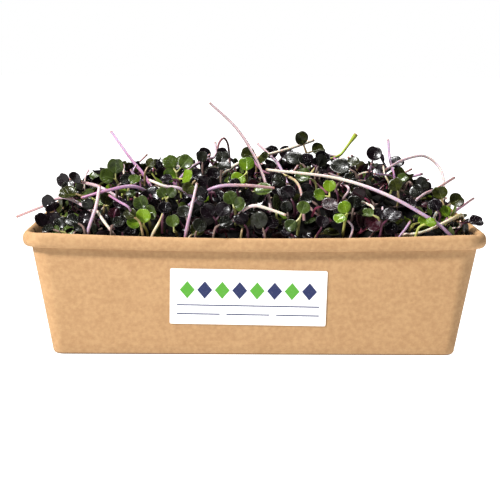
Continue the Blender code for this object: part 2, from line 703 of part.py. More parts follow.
def keep_largest_body(target):
    """Drops loose scraps and fills sealed hollows, by keeping the largest set of faces joined by edges."""
    mesh = bmesh.new()
    mesh.from_mesh(target.data)
    bmesh.ops.triangulate(mesh, faces=mesh.faces)
    unseen, bodies = set(mesh.faces), []
    while unseen:
        body, frontier = [], [unseen.pop()]
        while frontier:
            face = frontier.pop()
            body.append(face)
            for edge in face.edges:
                if len(edge.link_faces) != 2:
                    continue
                for other in edge.link_faces:
                    if other in unseen:
                        unseen.discard(other)
                        frontier.append(other)
        bodies.append(body)
    bodies.sort(key=len)
    scraps = [face for body in bodies[:-1] for face in body]
    bmesh.ops.delete(mesh, geom=scraps, context="FACES")
    mesh.to_mesh(target.data)
    mesh.free()


def build_greens():
    routes, radii, pairs, top_leaves = plan_sprouts()
    stem_points = np.vstack(routes)
    dark_leaves = plan_heap(stem_points, top_leaves)
    tube_routes = [curve_through(route[:: max(1, round(TUBE_SPACING / STEM_SPACING))], TUBE_SPACING)
                   for route in routes]

    for (name, _, finish, _), route, radius in zip(STEMS, tube_routes, radii):
        tube(name, route, radius, finish)
    for number, (finish, *_) in enumerate(LEAF_PAIRS, start=1):
        stalk = tube(f"leaf_pair_{number:02d}", tube_routes[len(STEMS) + number - 1], STALK_RADIUS, finish)
        blades = [blade("blade", leaf, finish) for leaf in pairs[number - 1]]
        apply_boolean(stalk, blades, "UNION")
        keep_largest_body(stalk)

    heap = build_core()
    apply_boolean(heap, [blade("blade", leaf, "dark") for leaf in dark_leaves], "UNION")
    cutters = [tube("cutter", route, radius, "dark", grow=CUT_CLEAR)
               for route, radius in zip(tube_routes, radii)]
    cutters += [blade("cutter", leaf, "dark", grow=CUT_CLEAR) for leaf in top_leaves]
    apply_boolean(heap, cutters, "DIFFERENCE")
    keep_largest_body(heap)


# Scene


def finish_material(name):
    material = bpy.data.materials.get(name)
    if material is None:
        colour, roughness = FINISHES[name]
        material = bpy.data.materials.new(name)
        material.use_nodes = True
        shader = material.node_tree.nodes["Principled BSDF"]
        shader.inputs["Base Color"].default_value = colour
        shader.inputs["Roughness"].default_value = roughness
        shader.inputs["Metallic"].default_value = 0
        material.diffuse_color = colour
    return material


def finished(name, mesh, finish):
    """The mesh as an object of the scene, with its faces turned outwards and its finish."""
    bmesh.ops.recalc_face_normals(mesh, faces=mesh.faces)
    data = bpy.data.meshes.new(name)
    mesh.to_mesh(data)
    mesh.free()
    data.materials.append(finish_material(finish))
    target = bpy.data.objects.new(name, data)
    bpy.context.scene.collection.objects.link(target)
    return target


def clear_scene():
    for old in list(bpy.data.objects):
        bpy.data.objects.remove(old)


def main():
    clear_scene()
    build_wall()
    build_base()
    build_label()
    build_greens()


main()
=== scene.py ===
"""The looks of the radish microgreens tray: kraft board, label, stems and leaves, and the studio.

Metres throughout, made from millimetres with MM. The sizes, the routes of the stems and the places
of the leaf pairs are those of the solids, so that each piece lies where the solid lies that it
stands for. Only the dark heap is planned anew, with leaves of their true size, and with the lone
leaves and loose stems that show on it.
"""

import math
import random
from collections import namedtuple

import bpy
import numpy as np
from mathutils import Matrix, Vector, noise


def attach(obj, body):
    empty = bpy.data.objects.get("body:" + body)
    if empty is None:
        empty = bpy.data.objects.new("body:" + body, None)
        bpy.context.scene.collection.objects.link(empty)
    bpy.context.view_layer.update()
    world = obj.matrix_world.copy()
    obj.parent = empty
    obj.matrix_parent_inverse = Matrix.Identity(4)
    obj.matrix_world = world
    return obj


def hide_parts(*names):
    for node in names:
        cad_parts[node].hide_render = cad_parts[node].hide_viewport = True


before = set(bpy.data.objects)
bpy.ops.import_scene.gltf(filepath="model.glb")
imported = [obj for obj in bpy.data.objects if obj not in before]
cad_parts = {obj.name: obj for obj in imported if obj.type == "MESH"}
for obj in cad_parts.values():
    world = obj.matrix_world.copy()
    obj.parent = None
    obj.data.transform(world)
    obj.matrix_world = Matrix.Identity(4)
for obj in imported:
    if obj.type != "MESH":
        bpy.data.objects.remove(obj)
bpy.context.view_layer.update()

MM = 0.001

# The tray, over its rim and over its foot
RIM_LENGTH = 167 * MM
RIM_WIDTH = 120 * MM
FOOT_LENGTH = 146.8 * MM
UNDER_RIM_LENGTH = 161 * MM
TRAY_HEIGHT = 45.8 * MM
FOOT_CORNER_RADIUS = 4 * MM
RIM_CORNER_RADIUS = 8 * MM
BOARD = 0.6 * MM
GAP = 0.3 * MM
BEAD_HEIGHT = 5.4 * MM
BEAD_TURN = math.radians(300)
RIM_DIP = 1.6 * MM
HEM_HEIGHT = 5 * MM
HEM_ROUNDING = 0.4 * MM
FOOT_ROUNDING = 1.1 * MM
LAP_CENTRE_Y = -26 * MM
LAP_WIDTH = 8 * MM
LAP_EDGE = 0.15 * MM
LAP_RISE = 0.5 * MM

# How finely the tray is drawn
CORNER_STEPS = 16
SIDE_SPACING = 2 * MM
BEAD_STEPS = 30
WALL_ROWS = 12
ARC_STEPS = 5

# What handling did to the board
RIPPLE = 0.1 * MM
RIPPLE_LENGTH = 40 * MM
PLEAT_DEPTH = 0.16 * MM
PLEATS = 7
DENT_DEPTH = 0.55 * MM
DENT_X = -12 * MM
DENT_REACH = 5 * MM
DENT_TURN = 0.3
SLIT_DEPTH = 0.9 * MM
SLIT_CORNER_TURN = math.radians(52)
SLIT_REACH = math.radians(3.5)
SLIT_BEAD_TURN = math.radians(105)
SLIT_BEAD_REACH = math.radians(38)

# The label on the front wall and what is printed on it
LABEL_WIDTH = 56.6 * MM
LABEL_HEIGHT = 21.1 * MM
LABEL_THICKNESS = 0.2 * MM
LABEL_STANDOFF = 0.12 * MM
LABEL_CORNER = 0.6 * MM
LABEL_CENTRE_X = -2.3 * MM
LABEL_CENTRE_Z = 22.1 * MM
LABEL_TILT = math.radians(-0.85)
LABEL_COLUMNS = 41
LABEL_ROWS = 9
LABEL_CORNER_ROWS = 6
INK_THICKNESS = 0.02 * MM
INK_STEP = 2.5 * MM
DIAMONDS = 8
DIAMOND_SPACING = 6.3 * MM
DIAMOND_WIDTH = 5.4 * MM
DIAMOND_HEIGHT = 6.6 * MM
DIAMOND_Z = 2.6 * MM
RULE_Z = -3.2 * MM
RULE_HEIGHT = 0.4 * MM
LINE_Z = -6.6 * MM
LINE_LENGTH = 15.5 * MM
LINE_SPACING = 18 * MM

# The heap: leaf tips reach a low dome that falls off at the rim
HEAP_EDGE_HEIGHT = 47 * MM
HEAP_RISE = 23 * MM
HEAP_HALF_LENGTH = 84 * MM
HEAP_HALF_WIDTH = 58 * MM
CORE_UNDER_TIPS = 6 * MM
CORE_INSET = 1.07
CORE_SHOULDER = 40 * MM

# Leaves and stems, as the solids have them
LEAF_THICKNESS = 0.7 * MM
LEAF_FOLD = 0.22
NOTCH_DEPTH = 0.16
NOTCH_DEGREES = 20
TIP_DRAWN_OUT = 0.08
PROBE_DEGREES = 24
LEAF_OVERHANG = 2.5 * MM
LEAF_CLEAR = 0.45 * MM
STEM_CLEAR = 0.5 * MM
STEM_MARGIN = 1.4 * MM
CURVE_SAMPLES = 16
STEM_SPACING = 1.5 * MM
STALK_RADIUS = 0.75 * MM
STALK_FOOT_SCALE = (0.96, 0.9)
STALK_FOOT_DEPTH = 5 * MM
STALK_BOW = 1 * MM
BEND_REACH = 6 * MM
BEND_ROUNDS = 60
BEND_SHARE = 0.55
SETTLE_TRIES = 160
SETTLE_TRIES_PER_MM = 40
SETTLE_FACING = (0, -1, 0.55)
SETTLE_TURN = 0.35

# Fine leaves: the blade's edge, crease and rim, the ranges of their shapes, and the rib under each
FINE_THICKNESS = 0.42 * MM
EDGE_THINNING = 0.55
LONGEST_BLADE = 0.96
NOTCH_TURN = 0.3
WAIST_DEPTH = 0.3
WAIST_TURN = 0.7
TIP_POINT = 0.06
CREASE_SOFTNESS = 0.1
RIM_WAVES = 3
FOLD_RANGE = (0.05, 0.32)
CUP_RANGE = (-0.25, 0.45)
WAVE_RANGE = (0.0, 0.3)
NOTCH_RANGE = (0.08, 0.2)
RIB_TAPER = ((-0.96, 0.75), (-0.6, 0.5), (-0.2, 0.34), (0.2, 0.15))
RIB_SINK = 0.42
RIB_SIDES = 6
SHORTEST_STALK = 0.3 * MM
PAIR_RIB = 0.46 * MM
LONE_RIB = 0.42 * MM
SINGLE_RIB = 0.4 * MM
RING_SHARES = (0.32, 0.6, 0.84, 1.0)
HEAP_SECTORS = 18
PAIR_RINGS = (0.2, 0.4, 0.6, 0.78, 0.92, 1.0)
PAIR_SECTORS = 36
PAIR_SHAPE_SEED = 100
PAIR_STALK_RADII = (0.5, 0.6)
STALK_SIDES = 8

# Fine stems: thinner than the solids, a little uneven, and the lime one ends in a paddle
STEM_SIDES = 12
STEM_STEP = 1 * MM
SHORT_ROUTE = 8
STEM_FINENESS = (0.62, 0.8)
STEM_SWELL = 0.05
STEM_SWELL_TURN = 9
PADDLE_SWELL = 1.0
PADDLE_POINTS = 3.5

# Bare stems: radius in mm, the colours of the free and the sunk end, and the route in mm
STEMS = (
    (0.75, "salmon", "pink", ((-90, -20, 47), (-79, -28, 52), (-70, -36, 56), (-58, -42, 51))),
    (0.9, "salmon", "pink", ((-73, -10, 61), (-65, -18, 60), (-58, -26, 59), (-48, -30, 54))),
    (0.9, "magenta", "lilac", ((-63, -46, 57), (-53, -47, 60), (-43, -45, 61), (-34, -38, 54))),
    (0.9, "cream", "lilac", ((-39, -38, 63), (-33, -41, 61), (-27, -42, 60), (-20, -38, 54))),
    (0.9, "salmon", "lilac", ((7, -46, 61), (-4, -47, 62), (-15, -46, 61), (-24, -40, 54))),
    (0.95, "pink", "lilac", ((-56, -50, 62), (-57, -53, 55), (-60, -54.5, 45), (-60, -49, 36))),
    (0.8, "cream", "pink", ((-57, -51, 53), (-54, -53.5, 49), (-50, -54.5, 44), (-46, -48, 36))),
    (0.85, "lilac", "magenta", ((-56, 5, 78), (-48, -8, 69), (-41, -19, 62), (-36, -28, 54))),
    (0.8, "straw", "cream", ((-32, -50, 55), (-34, -53.5, 50), (-37, -54.5, 44), (-38, -48, 36))),
    (0.85, "pink", "magenta", ((-21, -50, 63), (-23, -53.5, 54), (-25, -54.5, 44), (-25, -48, 36))),
    (0.8, "pale", "pale", ((-17, -8, 90), (-7, -14, 81), (0, -24, 71), (4, -38, 62), (6, -45, 52))),
    (0.75, "pink", "lilac", ((-15, 5, 74), (-15, 0, 69), (-19, -8, 68), (-25, -15, 65), (-32, -20, 57))),
    (0.6, "red", "salmon", ((-14, 13, 68), (-14, 15, 72), (-12, 17, 75), (-10, 19, 72), (-9, 20, 61))),
    (0.95, "cream", "cream", ((24, 8, 75), (8, 0, 70), (-5, -5, 67), (-18, -12, 58))),
    (0.8, "pink", "lilac", ((2, 12, 73), (7, 2, 69), (10, -14, 66), (14, -26, 57))),
    (0.9, "cream", "lilac", ((4, -38, 67), (31, -41, 64), (52, -50, 57), (70, -53.5, 45), (74, -48, 38))),
    (0.8, "lime", "straw", ((41, 12, 77), (37, 9, 72), (34, 6, 69), (26, 0, 66), (18, -4, 57))),
    (0.75, "lilac", "magenta", ((54, 12, 75), (54, 5, 68), (55, -6, 61), (55, -12, 53))),
    (0.8, "pink", "cream", ((51, -10, 65), (59, 0, 68), (68, 6, 69), (74, 4, 64), (74, -8, 57),
                            (69, -28, 49), (66, -34, 42))),
    (0.8, "salmon", "pink", ((79, 0, 61), (71, -12, 58), (64, -20, 56), (56, -28, 50))),
    (0.75, "salmon", "magenta", ((89.7, 18, 51), (83, -4, 51), (74, -22, 48), (66, -34, 40))),
    (0.9, "cream", "straw", ((50, -54, 45), (59, -54, 46), (70, -50, 50), (76, -42, 51), (77, -32, 45))),
    (0.85, "cream", "pink", ((11, -53.5, 52), (5, -53, 54), (-2, -52, 55), (-9, -47, 48))),
    (0.65, "pink", "salmon", ((33, -54, 51), (35, -54.5, 48), (34, -54.5, 44), (32, -49, 37))),
    (0.75, "straw", "salmon", ((10, -33, 65), (15, -41, 63), (17, -48, 58), (18, -48, 48))),
    (0.7, "lilac", "magenta", ((56, -53.5, 50), (54, -54.5, 47), (51, -54.5, 43), (48, -49, 36))),
)

# Leaf pairs: colour, leaf width, the end of the stalk, and each leaf's tip, all in mm
LEAF_PAIRS = (
    ("green", 6.3, (-52, -26, 62), (-52, -26, 70), (-58, -28, 64)),
    ("green", 6.0, (-29, -30, 65), (-33, -28, 71), (-24, -28, 71)),
    ("bright", 5.6, (-28, -35, 63), (-34, -37, 65), (-23, -39, 65)),
    ("bright", 5.6, (-40, -54, 48), (-46, -54, 50), (-40, -53, 54)),
    ("green", 5.6, (-39, -52, 52), (-43, -51, 57), (-35, -53, 54)),
    ("green", 5.0, (-29, -54, 46), (-30, -53, 52), (-24, -54, 45)),
    ("green", 4.2, (-32, -49, 57), (-35, -49, 61), (-29, -49, 61)),
    ("bright", 6.0, (-3, -31, 65), (-3, -28, 71), (-8, -35, 62)),
    ("green", 5.4, (-8, -51, 54), (-10, -49, 60), (-3, -52, 56)),
    ("olive", 6.0, (1, -8, 69), (-5, -8, 71), (5, -13, 69)),
    ("olive", 5.8, (21, 4, 70), (16, 6, 78), (28, 7, 72)),
    ("bright", 4.8, (27, -47, 58), (27, -45, 64), (21, -48, 59)),
    ("bright", 5.2, (33, -54, 52), (31, -53, 57), (27, -55, 49)),
    ("green", 5.0, (16, -54, 51), (18, -53, 57), (11, -55, 47)),
    ("bright", 4.8, (57, -53, 49), (59, -52, 55), (63, -52, 50)),
    ("bright", 5.2, (71, -46, 50), (76, -44, 54), (68, -44, 55)),
    ("dark", 6.0, (-74, -34, 51), (-79, -32, 58), (-73, -32, 57)),
    ("dark", 5.8, (-77, -39, 45), (-82, -38, 50), (-71, -41, 50)),
    ("dark", 6.2, (46, -2, 65.5), (48, 0, 73), (51, -7, 63)),
    ("olive", 6.0, (71, -30, 53), (69, -26, 60), (78, -28, 56)),
    ("dark", 6.4, (53, 5, 64), (59, 8, 68), (48, 0, 69)),
    ("dark", 5.6, (-69, -16, 57), (-73, -14, 62), (-64, -18, 61)),
    ("dark", 6.8, (-39, -46, 57), (-43, -43, 63), (-34, -47, 60)),
    ("dark", 6.2, (-16, 9, 65), (-22, 9, 70.5), (-10, 10, 70.5)),
    ("dark", 6.0, (-14, -53, 50), (-19, -52, 55), (-10, -53, 56)),
    ("dark", 6.2, (79, -36, 46), (85, -33, 51), (74, -42, 48)),
    ("dark", 5.8, (10, 12, 65.5), (6, 14, 72), (15, 13, 71.5)),
    ("dark", 6.0, (24, -12, 66), (28, -8, 71), (18, -10, 70)),
    ("maroon", 6.8, (38, -54, 46), (45, -53, 51), (35, -53, 52)),
)

# Lone leaves that show one by one: colour, width in mm, middle in mm, the way that it faces, and the way
# of its tip in degrees from straight up, clockwise from the front
LONE_LEAVES = (
    ("olive", 7.3, (-68.6, -38.5, 57.3), (0.0, -0.6, 0.9), -80),
    ("slate", 4.9, (-69.6, -28.5, 59.2), (0.0, -0.9, 0.5), -10),
    ("slate", 4.7, (-60.4, -48.0, 55.0), (-0.4, -0.9, 0.1), -30),
    ("olive", 5.1, (-54.0, -46.5, 56.9), (0.4, -0.9, 0.1), 20),
    ("slate", 5.4, (-65.6, -54.5, 49.6), (0.0, -0.9, 0.6), -60),
    ("slate", 4.3, (-62.9, -56.0, 47.1), (0.0, -0.8, 0.8), 30),
    ("slate", 4.6, (-74.0, -56.0, 46.8), (0.0, -0.6, 0.9), -60),
    ("green", 4.6, (-71.5, -56.0, 46.1), (0.0, -0.5, 1.0), -70),
    ("dark", 6.8, (-53.3, -56.0, 46.9), (0.0, -0.7, 0.8), 0),
    ("slate", 4.8, (-47.4, -37.5, 62.6), (0.0, -0.8, 0.7), 40),
    ("green", 4.8, (-44.1, -37.5, 62.8), (0.0, -0.7, 0.8), 20),
    ("green", 4.0, (-45.1, -45.0, 58.4), (0.0, -0.7, 0.8), -30),
    ("olive", 5.0, (-44.9, -53.0, 52.2), (0.0, -0.8, 0.7), -40),
    ("olive", 4.1, (-39.0, -23.5, 68.0), (0.0, -0.9, 0.5), 30),
    ("dark", 5.8, (-36.1, -50.5, 54.7), (0.5, -0.9, 0.1), 160),
    ("dark", 5.1, (-32.5, -38.0, 63.3), (0.0, -0.6, 0.9), -70),
    ("olive", 5.1, (-24.1, -43.0, 60.3), (0.0, -0.9, 0.5), -150),
    ("dark", 4.8, (-21.5, -35.5, 64.6), (0.0, -0.9, 0.5), -60),
    ("dark", 5.2, (-15.4, -35.0, 64.8), (0.0, -0.9, 0.6), 50),
    ("slate", 4.6, (-19.5, -14.0, 69.6), (-0.4, -0.9, 0.1), 0),
    ("slate", 5.4, (-12.3, -13.5, 69.7), (0.0, -0.9, 0.5), 0),
    ("slate", 5.6, (-11.4, -28.0, 67.4), (0.0, -0.6, 0.9), 60),
    ("dark", 4.4, (-19.0, -39.0, 62.8), (0.0, -1.0, 0.1), -40),
    ("dark", 5.1, (-15.4, -40.5, 62.0), (0.6, -0.8, 0.1), 10),
    ("dark", 5.8, (-18.9, -46.0, 58.5), (-0.5, -0.9, 0.1), -100),
    ("dark", 5.4, (-13.1, -46.5, 57.8), (0.0, -0.9, 0.5), -20),
    ("dark", 5.8, (-3.8, -46.0, 58.2), (0.5, -0.9, 0.1), 20),
    ("olive", 5.4, (-20.8, -56.0, 46.7), (0.0, -0.8, 0.7), 40),
    ("slate", 5.0, (-10.6, -55.5, 49.3), (0.0, -0.7, 0.8), 60),
    ("slate", 5.3, (25.1, -19.5, 69.0), (0.5, -0.9, 0.1), 30),
    ("slate", 6.9, (15.4, -16.0, 69.4), (0.0, -0.8, 0.7), -40),
    ("slate", 5.9, (8.9, -38.5, 63.2), (0.0, -0.9, 0.6), -60),
    ("green", 6.3, (17.7, -36.0, 64.4), (0.0, -0.8, 0.7), -60),
    ("green", 7.3, (2.9, -43.5, 60.0), (0.0, -0.6, 0.9), 70),
    ("dark", 5.1, (18.8, -43.5, 60.1), (0.0, -1.0, 0.1), 40),
    ("dark", 6.5, (11.8, -45.0, 59.1), (0.0, -0.8, 0.7), -20),
    ("green", 7.2, (7.5, -49.0, 55.9), (0.9, -0.4, 0.1), 20),
    ("slate", 4.3, (11.3, -50.5, 54.7), (0.0, -0.9, 0.1), -10),
    ("slate", 5.1, (18.6, -47.5, 57.2), (0.0, -0.9, 0.6), -60),
    ("slate", 6.8, (1.3, -55.0, 50.2), (-0.4, -0.9, 0.1), -30),
    ("dark", 4.3, (11.0, -56.0, 46.2), (0.0, -0.8, 0.8), -50),
    ("slate", 5.7, (17.5, -56.0, 46.6), (0.0, -0.6, 0.9), 50),
    ("olive", 6.4, (27.1, -56.0, 45.7), (0.0, -0.4, 1.0), 60),
    ("maroon", 7.2, (27.0, -49.5, 55.3), (0.0, -0.7, 0.8), 60),
    ("dark", 5.1, (22.0, -48.5, 56.2), (0.0, -1.0, 0.1), -60),
    ("slate", 5.0, (32.3, -56.0, 47.1), (0.0, -0.7, 0.8), -50),
    ("green", 5.0, (40.5, -52.5, 52.3), (0.0, -0.6, 0.9), -50),
    ("dark", 7.2, (49.2, -52.5, 52.3), (0.0, -0.7, 0.8), 20),
    ("dark", 5.4, (48.6, -56.0, 47.3), (0.0, -0.9, 0.6), -30),
    ("olive", 5.7, (37.6, -19.5, 68.7), (0.0, -0.6, 0.9), 60),
    ("slate", 8.2, (32.1, -27.5, 67.2), (0.0, -0.6, 0.9), -60),
    ("slate", 4.5, (62.2, -31.0, 62.0), (0.0, -1.0, 0.1), 20),
    ("slate", 5.5, (59.2, -39.5, 59.8), (-0.5, -0.9, 0.1), 140),
    ("olive", 5.5, (52.0, -38.0, 61.8), (-0.5, -0.9, 0.1), -20),
    ("dark", 5.0, (71.2, -56.0, 47.9), (-0.5, -0.9, 0.1), -60),
    ("slate", 4.7, (74.9, -56.0, 47.4), (0.7, -0.7, 0.1), 10),
    ("bright", 4.3, (63.0, -54.5, 49.9), (0.0, -0.7, 0.8), 60),
    ("green", 4.5, (55.2, -32.0, 63.7), (0.0, -0.8, 0.7), 40),
    ("maroon", 5.8, (37.7, -45.0, 58.7), (0.0, -1.0, 0.1), -60),
    ("dark", 4.4, (-7.3, -40.5, 61.9), (0.0, -1.0, 0.1), -20),
    ("dark", 5.7, (-5.1, -54.5, 50.6), (0.0, -0.8, 0.7), -20),
    ("dark", 5.0, (6.0, -55.5, 49.7), (0.0, -0.9, 0.6), 30),
    ("slate", 5.0, (-25.6, -52.5, 52.8), (0.0, -0.9, 0.5), -20),
    ("dark", 5.0, (-32.5, -51.0, 54.0), (0.0, -0.9, 0.6), 10),
    ("dark", 5.1, (-48.8, -48.5, 55.5), (0.0, -0.9, 0.5), 20),
    ("dark", 5.5, (65.5, -46.0, 55.1), (0.0, -0.8, 0.7), -20),
    ("slate", 5.9, (35.0, -37.5, 63.3), (0.0, -0.6, 0.9), 50),
    ("dark", 5.4, (56.1, -48.0, 55.3), (0.0, -0.7, 0.8), -40),
    ("dark", 5.0, (-58.3, -56.0, 48.0), (0.0, -0.9, 0.6), -30),
    ("slate", 4.6, (-49.0, -55.5, 49.4), (0.0, -0.8, 0.6), 50),
    ("dark", 5.0, (23.9, -55.5, 49.8), (0.0, -0.9, 0.5), 10),
    ("dark", 5.8, (81.6, -40.0, 48.4), (0.1, -0.6, 0.8), 75),
    ("slate", 5.0, (-70.0, -52.0, 48.5), (-0.2, -0.9, 0.3), -20),
    ("slate", 5.2, (36.0, -46.0, 56.0), (0.0, -0.9, 0.4), 10),
    ("dark", 5.6, (44.0, -50.0, 51.5), (0.1, -0.9, 0.3), -20),
    ("olive", 5.0, (-4.0, -54.0, 49.5), (0.1, -0.9, 0.4), 15),
    ("dark", 5.4, (-48.0, -54.0, 48.0), (0.0, -0.9, 0.3), -10),
    ("slate", 5.2, (-20.0, -54.5, 48.2), (0.1, -0.9, 0.3), 25),
    ("dark", 5.6, (2.0, -55.0, 47.6), (0.0, -0.9, 0.4), -15),
    ("dark", 5.4, (24.0, -55.0, 47.6), (0.1, -0.9, 0.3), 5),
    ("slate", 5.2, (66.0, -53.0, 47.4), (0.0, -0.9, 0.4), -30),
)

# How lone leaves are placed: moves along the line of sight, bends and feet of stalks in mm
LONE_SHIFTS = (0, 1, -1, 2, -2, 3, 4, -3, 5, -4, 6, 7, 8)
LONE_TURN = 0.12
LONE_SEED = 300
LONE_SHAPE_SEED = 500
LONE_HALF = 0.48
LONE_BASE = 1.2
LONE_BEND = (1.6, 0.8)
LONE_FOOT = (2.4, 5)
LONE_STALK_STEP = 1.2 * MM
LONE_STALK_RADII = (0.42, 0.5)
LOOSE_APART = 1.3 * MM

# Loose stems that lie over the leaves: radius in mm, the colours of its ends, and its route in mm
LOOSE_STEMS = (
    (0.5, "cream", "cream", ((37.6, -44, 56.6), (40.6, -47, 55.5), (42.6, -49, 54.6), (43.1, -52, 52),
                             (43, -50, 49.3))),
    (0.5, "pink", "pale", ((31.7, -38, 62.2), (33.7, -41, 61.4), (34.3, -43, 60.1), (32.7, -46, 58.2),
                           (31.9, -42, 56))),
    (0.45, "red", "salmon", ((20.7, 2, 69.5), (18.5, -3, 67.5), (16.3, -9, 65.2), (14.8, -10, 63))),
    (0.5, "cream", "straw", ((-36.7, -38, 60.7), (-34.3, -41, 59.9), (-31, -42, 59.7), (-28.3, -36, 59.5))),
    (0.45, "magenta", "lilac", ((-53, -46, 58.1), (-49.5, -49, 56.3), (-46, -52, 54.8), (-45.2, -48, 52.9))),
)

# The fine heap: its leaves, where they are rooted, and how clear they stay of what is there
HEAP_SEED = 11
HEAP_COLOURS = (("dark", 50), ("slate", 19), ("maroon", 8), ("olive", 10), ("green", 9), ("bright", 4))
LEAF_WIDTHS = (4.6 * MM, 7.0 * MM)
BED_DROP = 2.5 * MM
TIP_DROP = 1.2 * MM
HEAP_WALL_CLEAR = 0.5 * MM
HEAP_STEM_CLEAR = 0.9 * MM
HEAP_EDGE_CLEAR = 1 * MM
STALK_CLEAR = 1 * MM
CROWD_REACH = 9 * MM
SIGHT_MARGIN = 1.1 * MM

# Pairs of leaves in the heap: openings in degrees, reach in leaf widths, and the rest in mm
PAIR_SPACING = 7.4 * MM
PAIR_DARTS = 9000
PAIR_TRIES = 14
PAIR_LEAN = (0.2, 1.0)
PAIR_LIFT = (0.5, 3.2)
PAIR_SHRINK = 0.02
PAIR_OPENING = (28, 88)
PAIR_REACH = (1.12, 1.34)
PAIR_NECK = 0.3
PAIR_INWARDS = 0.4
PAIR_TWIST = 0.35
PAIR_STALKS = (0.36, 0.5)
PAIR_FOOT_DEPTH = 5
PAIR_FOOT_SPREAD = 1.5
PAIR_STALK_STEP = 2 * MM
PAIR_STALK_SIDES = 6

# Single leaves that lie under the pairs
UNDER_SPACING = 3.7 * MM
UNDER_DARTS = 12000
UNDER_TRIES = 4
UNDER_LIFT = (-1.0, 2.5)
UNDER_TILT = 0.9
UNDER_HALF = 0.6

# Thin stems in the heap: lengths, lifts, root depths and radii in mm
THIN_STEMS = 75
THIN_RISE = (-0.2, 0.7)
THIN_LENGTHS = (7, 19)
THIN_LIFT = (1.5, 4.0)
THIN_SAG = (0.05, 0.2)
THIN_UNDER_TOP = 0.5 * MM
THIN_ROOT_DEPTH = 2
THIN_WALL_CLEAR = 1 * MM
THIN_APART = 1.7 * MM
THIN_LEAF_CLEAR = 0.8 * MM
THIN_RADII = (0.34, 0.52)
THIN_TAPER = 0.85
THIN_COLOURS = (("pink", "cream"), ("lilac", "magenta"), ("cream", "straw"), ("salmon", "pink"),
                ("magenta", "red"))

# The core between the leaves, in near-black painted shade
CORE_WALL_CLEAR = 0.5 * MM
CORE_BOTTOM = 7 * MM
CORE_STEP = 2 * MM
CORE_SCALES = (0.985, 0.03)
CORE_RINGS = 40
CORE_DROP = 1.2 * MM
LUMP_HEIGHT = 1.6 * MM
LUMP_LENGTH = 4 * MM

# Colours (linear): kraft board, paper, inks
KRAFT = (0.475, 0.303, 0.162, 1)
KRAFT_DARK = (0.36, 0.20, 0.090, 1)
KRAFT_PALE = (0.62, 0.41, 0.22, 1)
# Painted shade: a dark brown for the board's bottom edge, standing in for the contact shadow that the glowing
# floor lights away
KRAFT_CONTACT_SHADE = (0.13, 0.070, 0.032, 1)
CONTACT_SHADE_HEIGHTS = (0.25 * MM, 0.75 * MM)
KRAFT_MOTTLING = 620
KRAFT_CLOUDS = 95
KRAFT_SPECKS = 1500
FIBRE_STRETCH = (420, 2600, 4200)
FIBRE_TURNS = ((0, 0.12, 0), (0, 0.95, 0.3), (0.2, -0.8, -0.4))
PAPER = (0.93, 0.93, 0.93, 1)
PAPER_SHADE = (0.90, 0.90, 0.90, 1)
INK_GREEN = (0.10, 0.37, 0.03, 1)
INK_NAVY = (0.012, 0.022, 0.11, 1)
# Painted shade: the near-black tones of the heap's core, standing for the deep shadow between the leaves
CORE_PAINTED_SHADES = ((0.004, 0.003, 0.004, 1), (0.014, 0.012, 0.010, 1))

# Leaf colours: upper side in its light and deep tone, underside, veins, stalk
LEAVES = {
    "dark": ((0.010, 0.005, 0.008, 1), (0.002, 0.0012, 0.002, 1), (0.020, 0.010, 0.015, 1),
             (0.026, 0.012, 0.018, 1), (0.12, 0.035, 0.065, 1)),
    "slate": ((0.022, 0.023, 0.015, 1), (0.005, 0.005, 0.0035, 1), (0.042, 0.042, 0.031, 1),
              (0.055, 0.070, 0.042, 1), (0.30, 0.20, 0.18, 1)),
    "maroon": ((0.042, 0.007, 0.014, 1), (0.011, 0.003, 0.005, 1), (0.055, 0.014, 0.022, 1),
               (0.085, 0.02, 0.03, 1), (0.26, 0.05, 0.10, 1)),
    "olive": ((0.060, 0.070, 0.010, 1), (0.018, 0.020, 0.005, 1), (0.070, 0.065, 0.022, 1),
              (0.12, 0.13, 0.03, 1), (0.40, 0.28, 0.16, 1)),
    "green": ((0.080, 0.118, 0.020, 1), (0.028, 0.042, 0.011, 1), (0.095, 0.115, 0.048, 1),
              (0.17, 0.24, 0.07, 1), (0.46, 0.42, 0.18, 1)),
    "bright": ((0.180, 0.280, 0.016, 1), (0.075, 0.135, 0.010, 1), (0.200, 0.270, 0.050, 1),
               (0.30, 0.42, 0.08, 1), (0.55, 0.52, 0.18, 1)),
}
# Painted highlight: a pale rim round the upper side of every leaf, for light that catches the blade's edge
LEAF_RIM_HIGHLIGHT = (0.17, 0.15, 0.13, 1)
MIDRIB_EDGE = (0.02, 0.085)
VEIN_SLANT = 0.85
VEIN_SPACING = 0.22

STEM_COLOURS = {
    "salmon": (0.45, 0.275, 0.27, 1),
    "pink": (0.60, 0.46, 0.50, 1),
    "lilac": (0.44, 0.30, 0.43, 1),
    "magenta": (0.36, 0.16, 0.29, 1),
    "cream": (0.74, 0.66, 0.55, 1),
    "straw": (0.52, 0.44, 0.22, 1),
    "lime": (0.34, 0.43, 0.03, 1),
    "red": (0.27, 0.09, 0.10, 1),
    "pale": (0.36, 0.255, 0.27, 1),
    "cut": (0.30, 0.15, 0.10, 1),
}
STEM_HIGHLIGHT = (0.74, 0.67, 0.67, 1)
STEM_SLOTS = {
    "salmon": "stem_pink", "pink": "stem_pink", "pale": "stem_pink",
    "lilac": "stem_lilac", "magenta": "stem_magenta", "cream": "stem_cream",
    "straw": "stem_cream", "lime": "stem_bright", "red": "stem_red",
}
LEAF_SLOTS = {
    "dark": "leaf_dark", "slate": "leaf_dark", "maroon": "leaf_maroon",
    "olive": "leaf_olive", "green": "leaf_green", "bright": "leaf_bright",
}

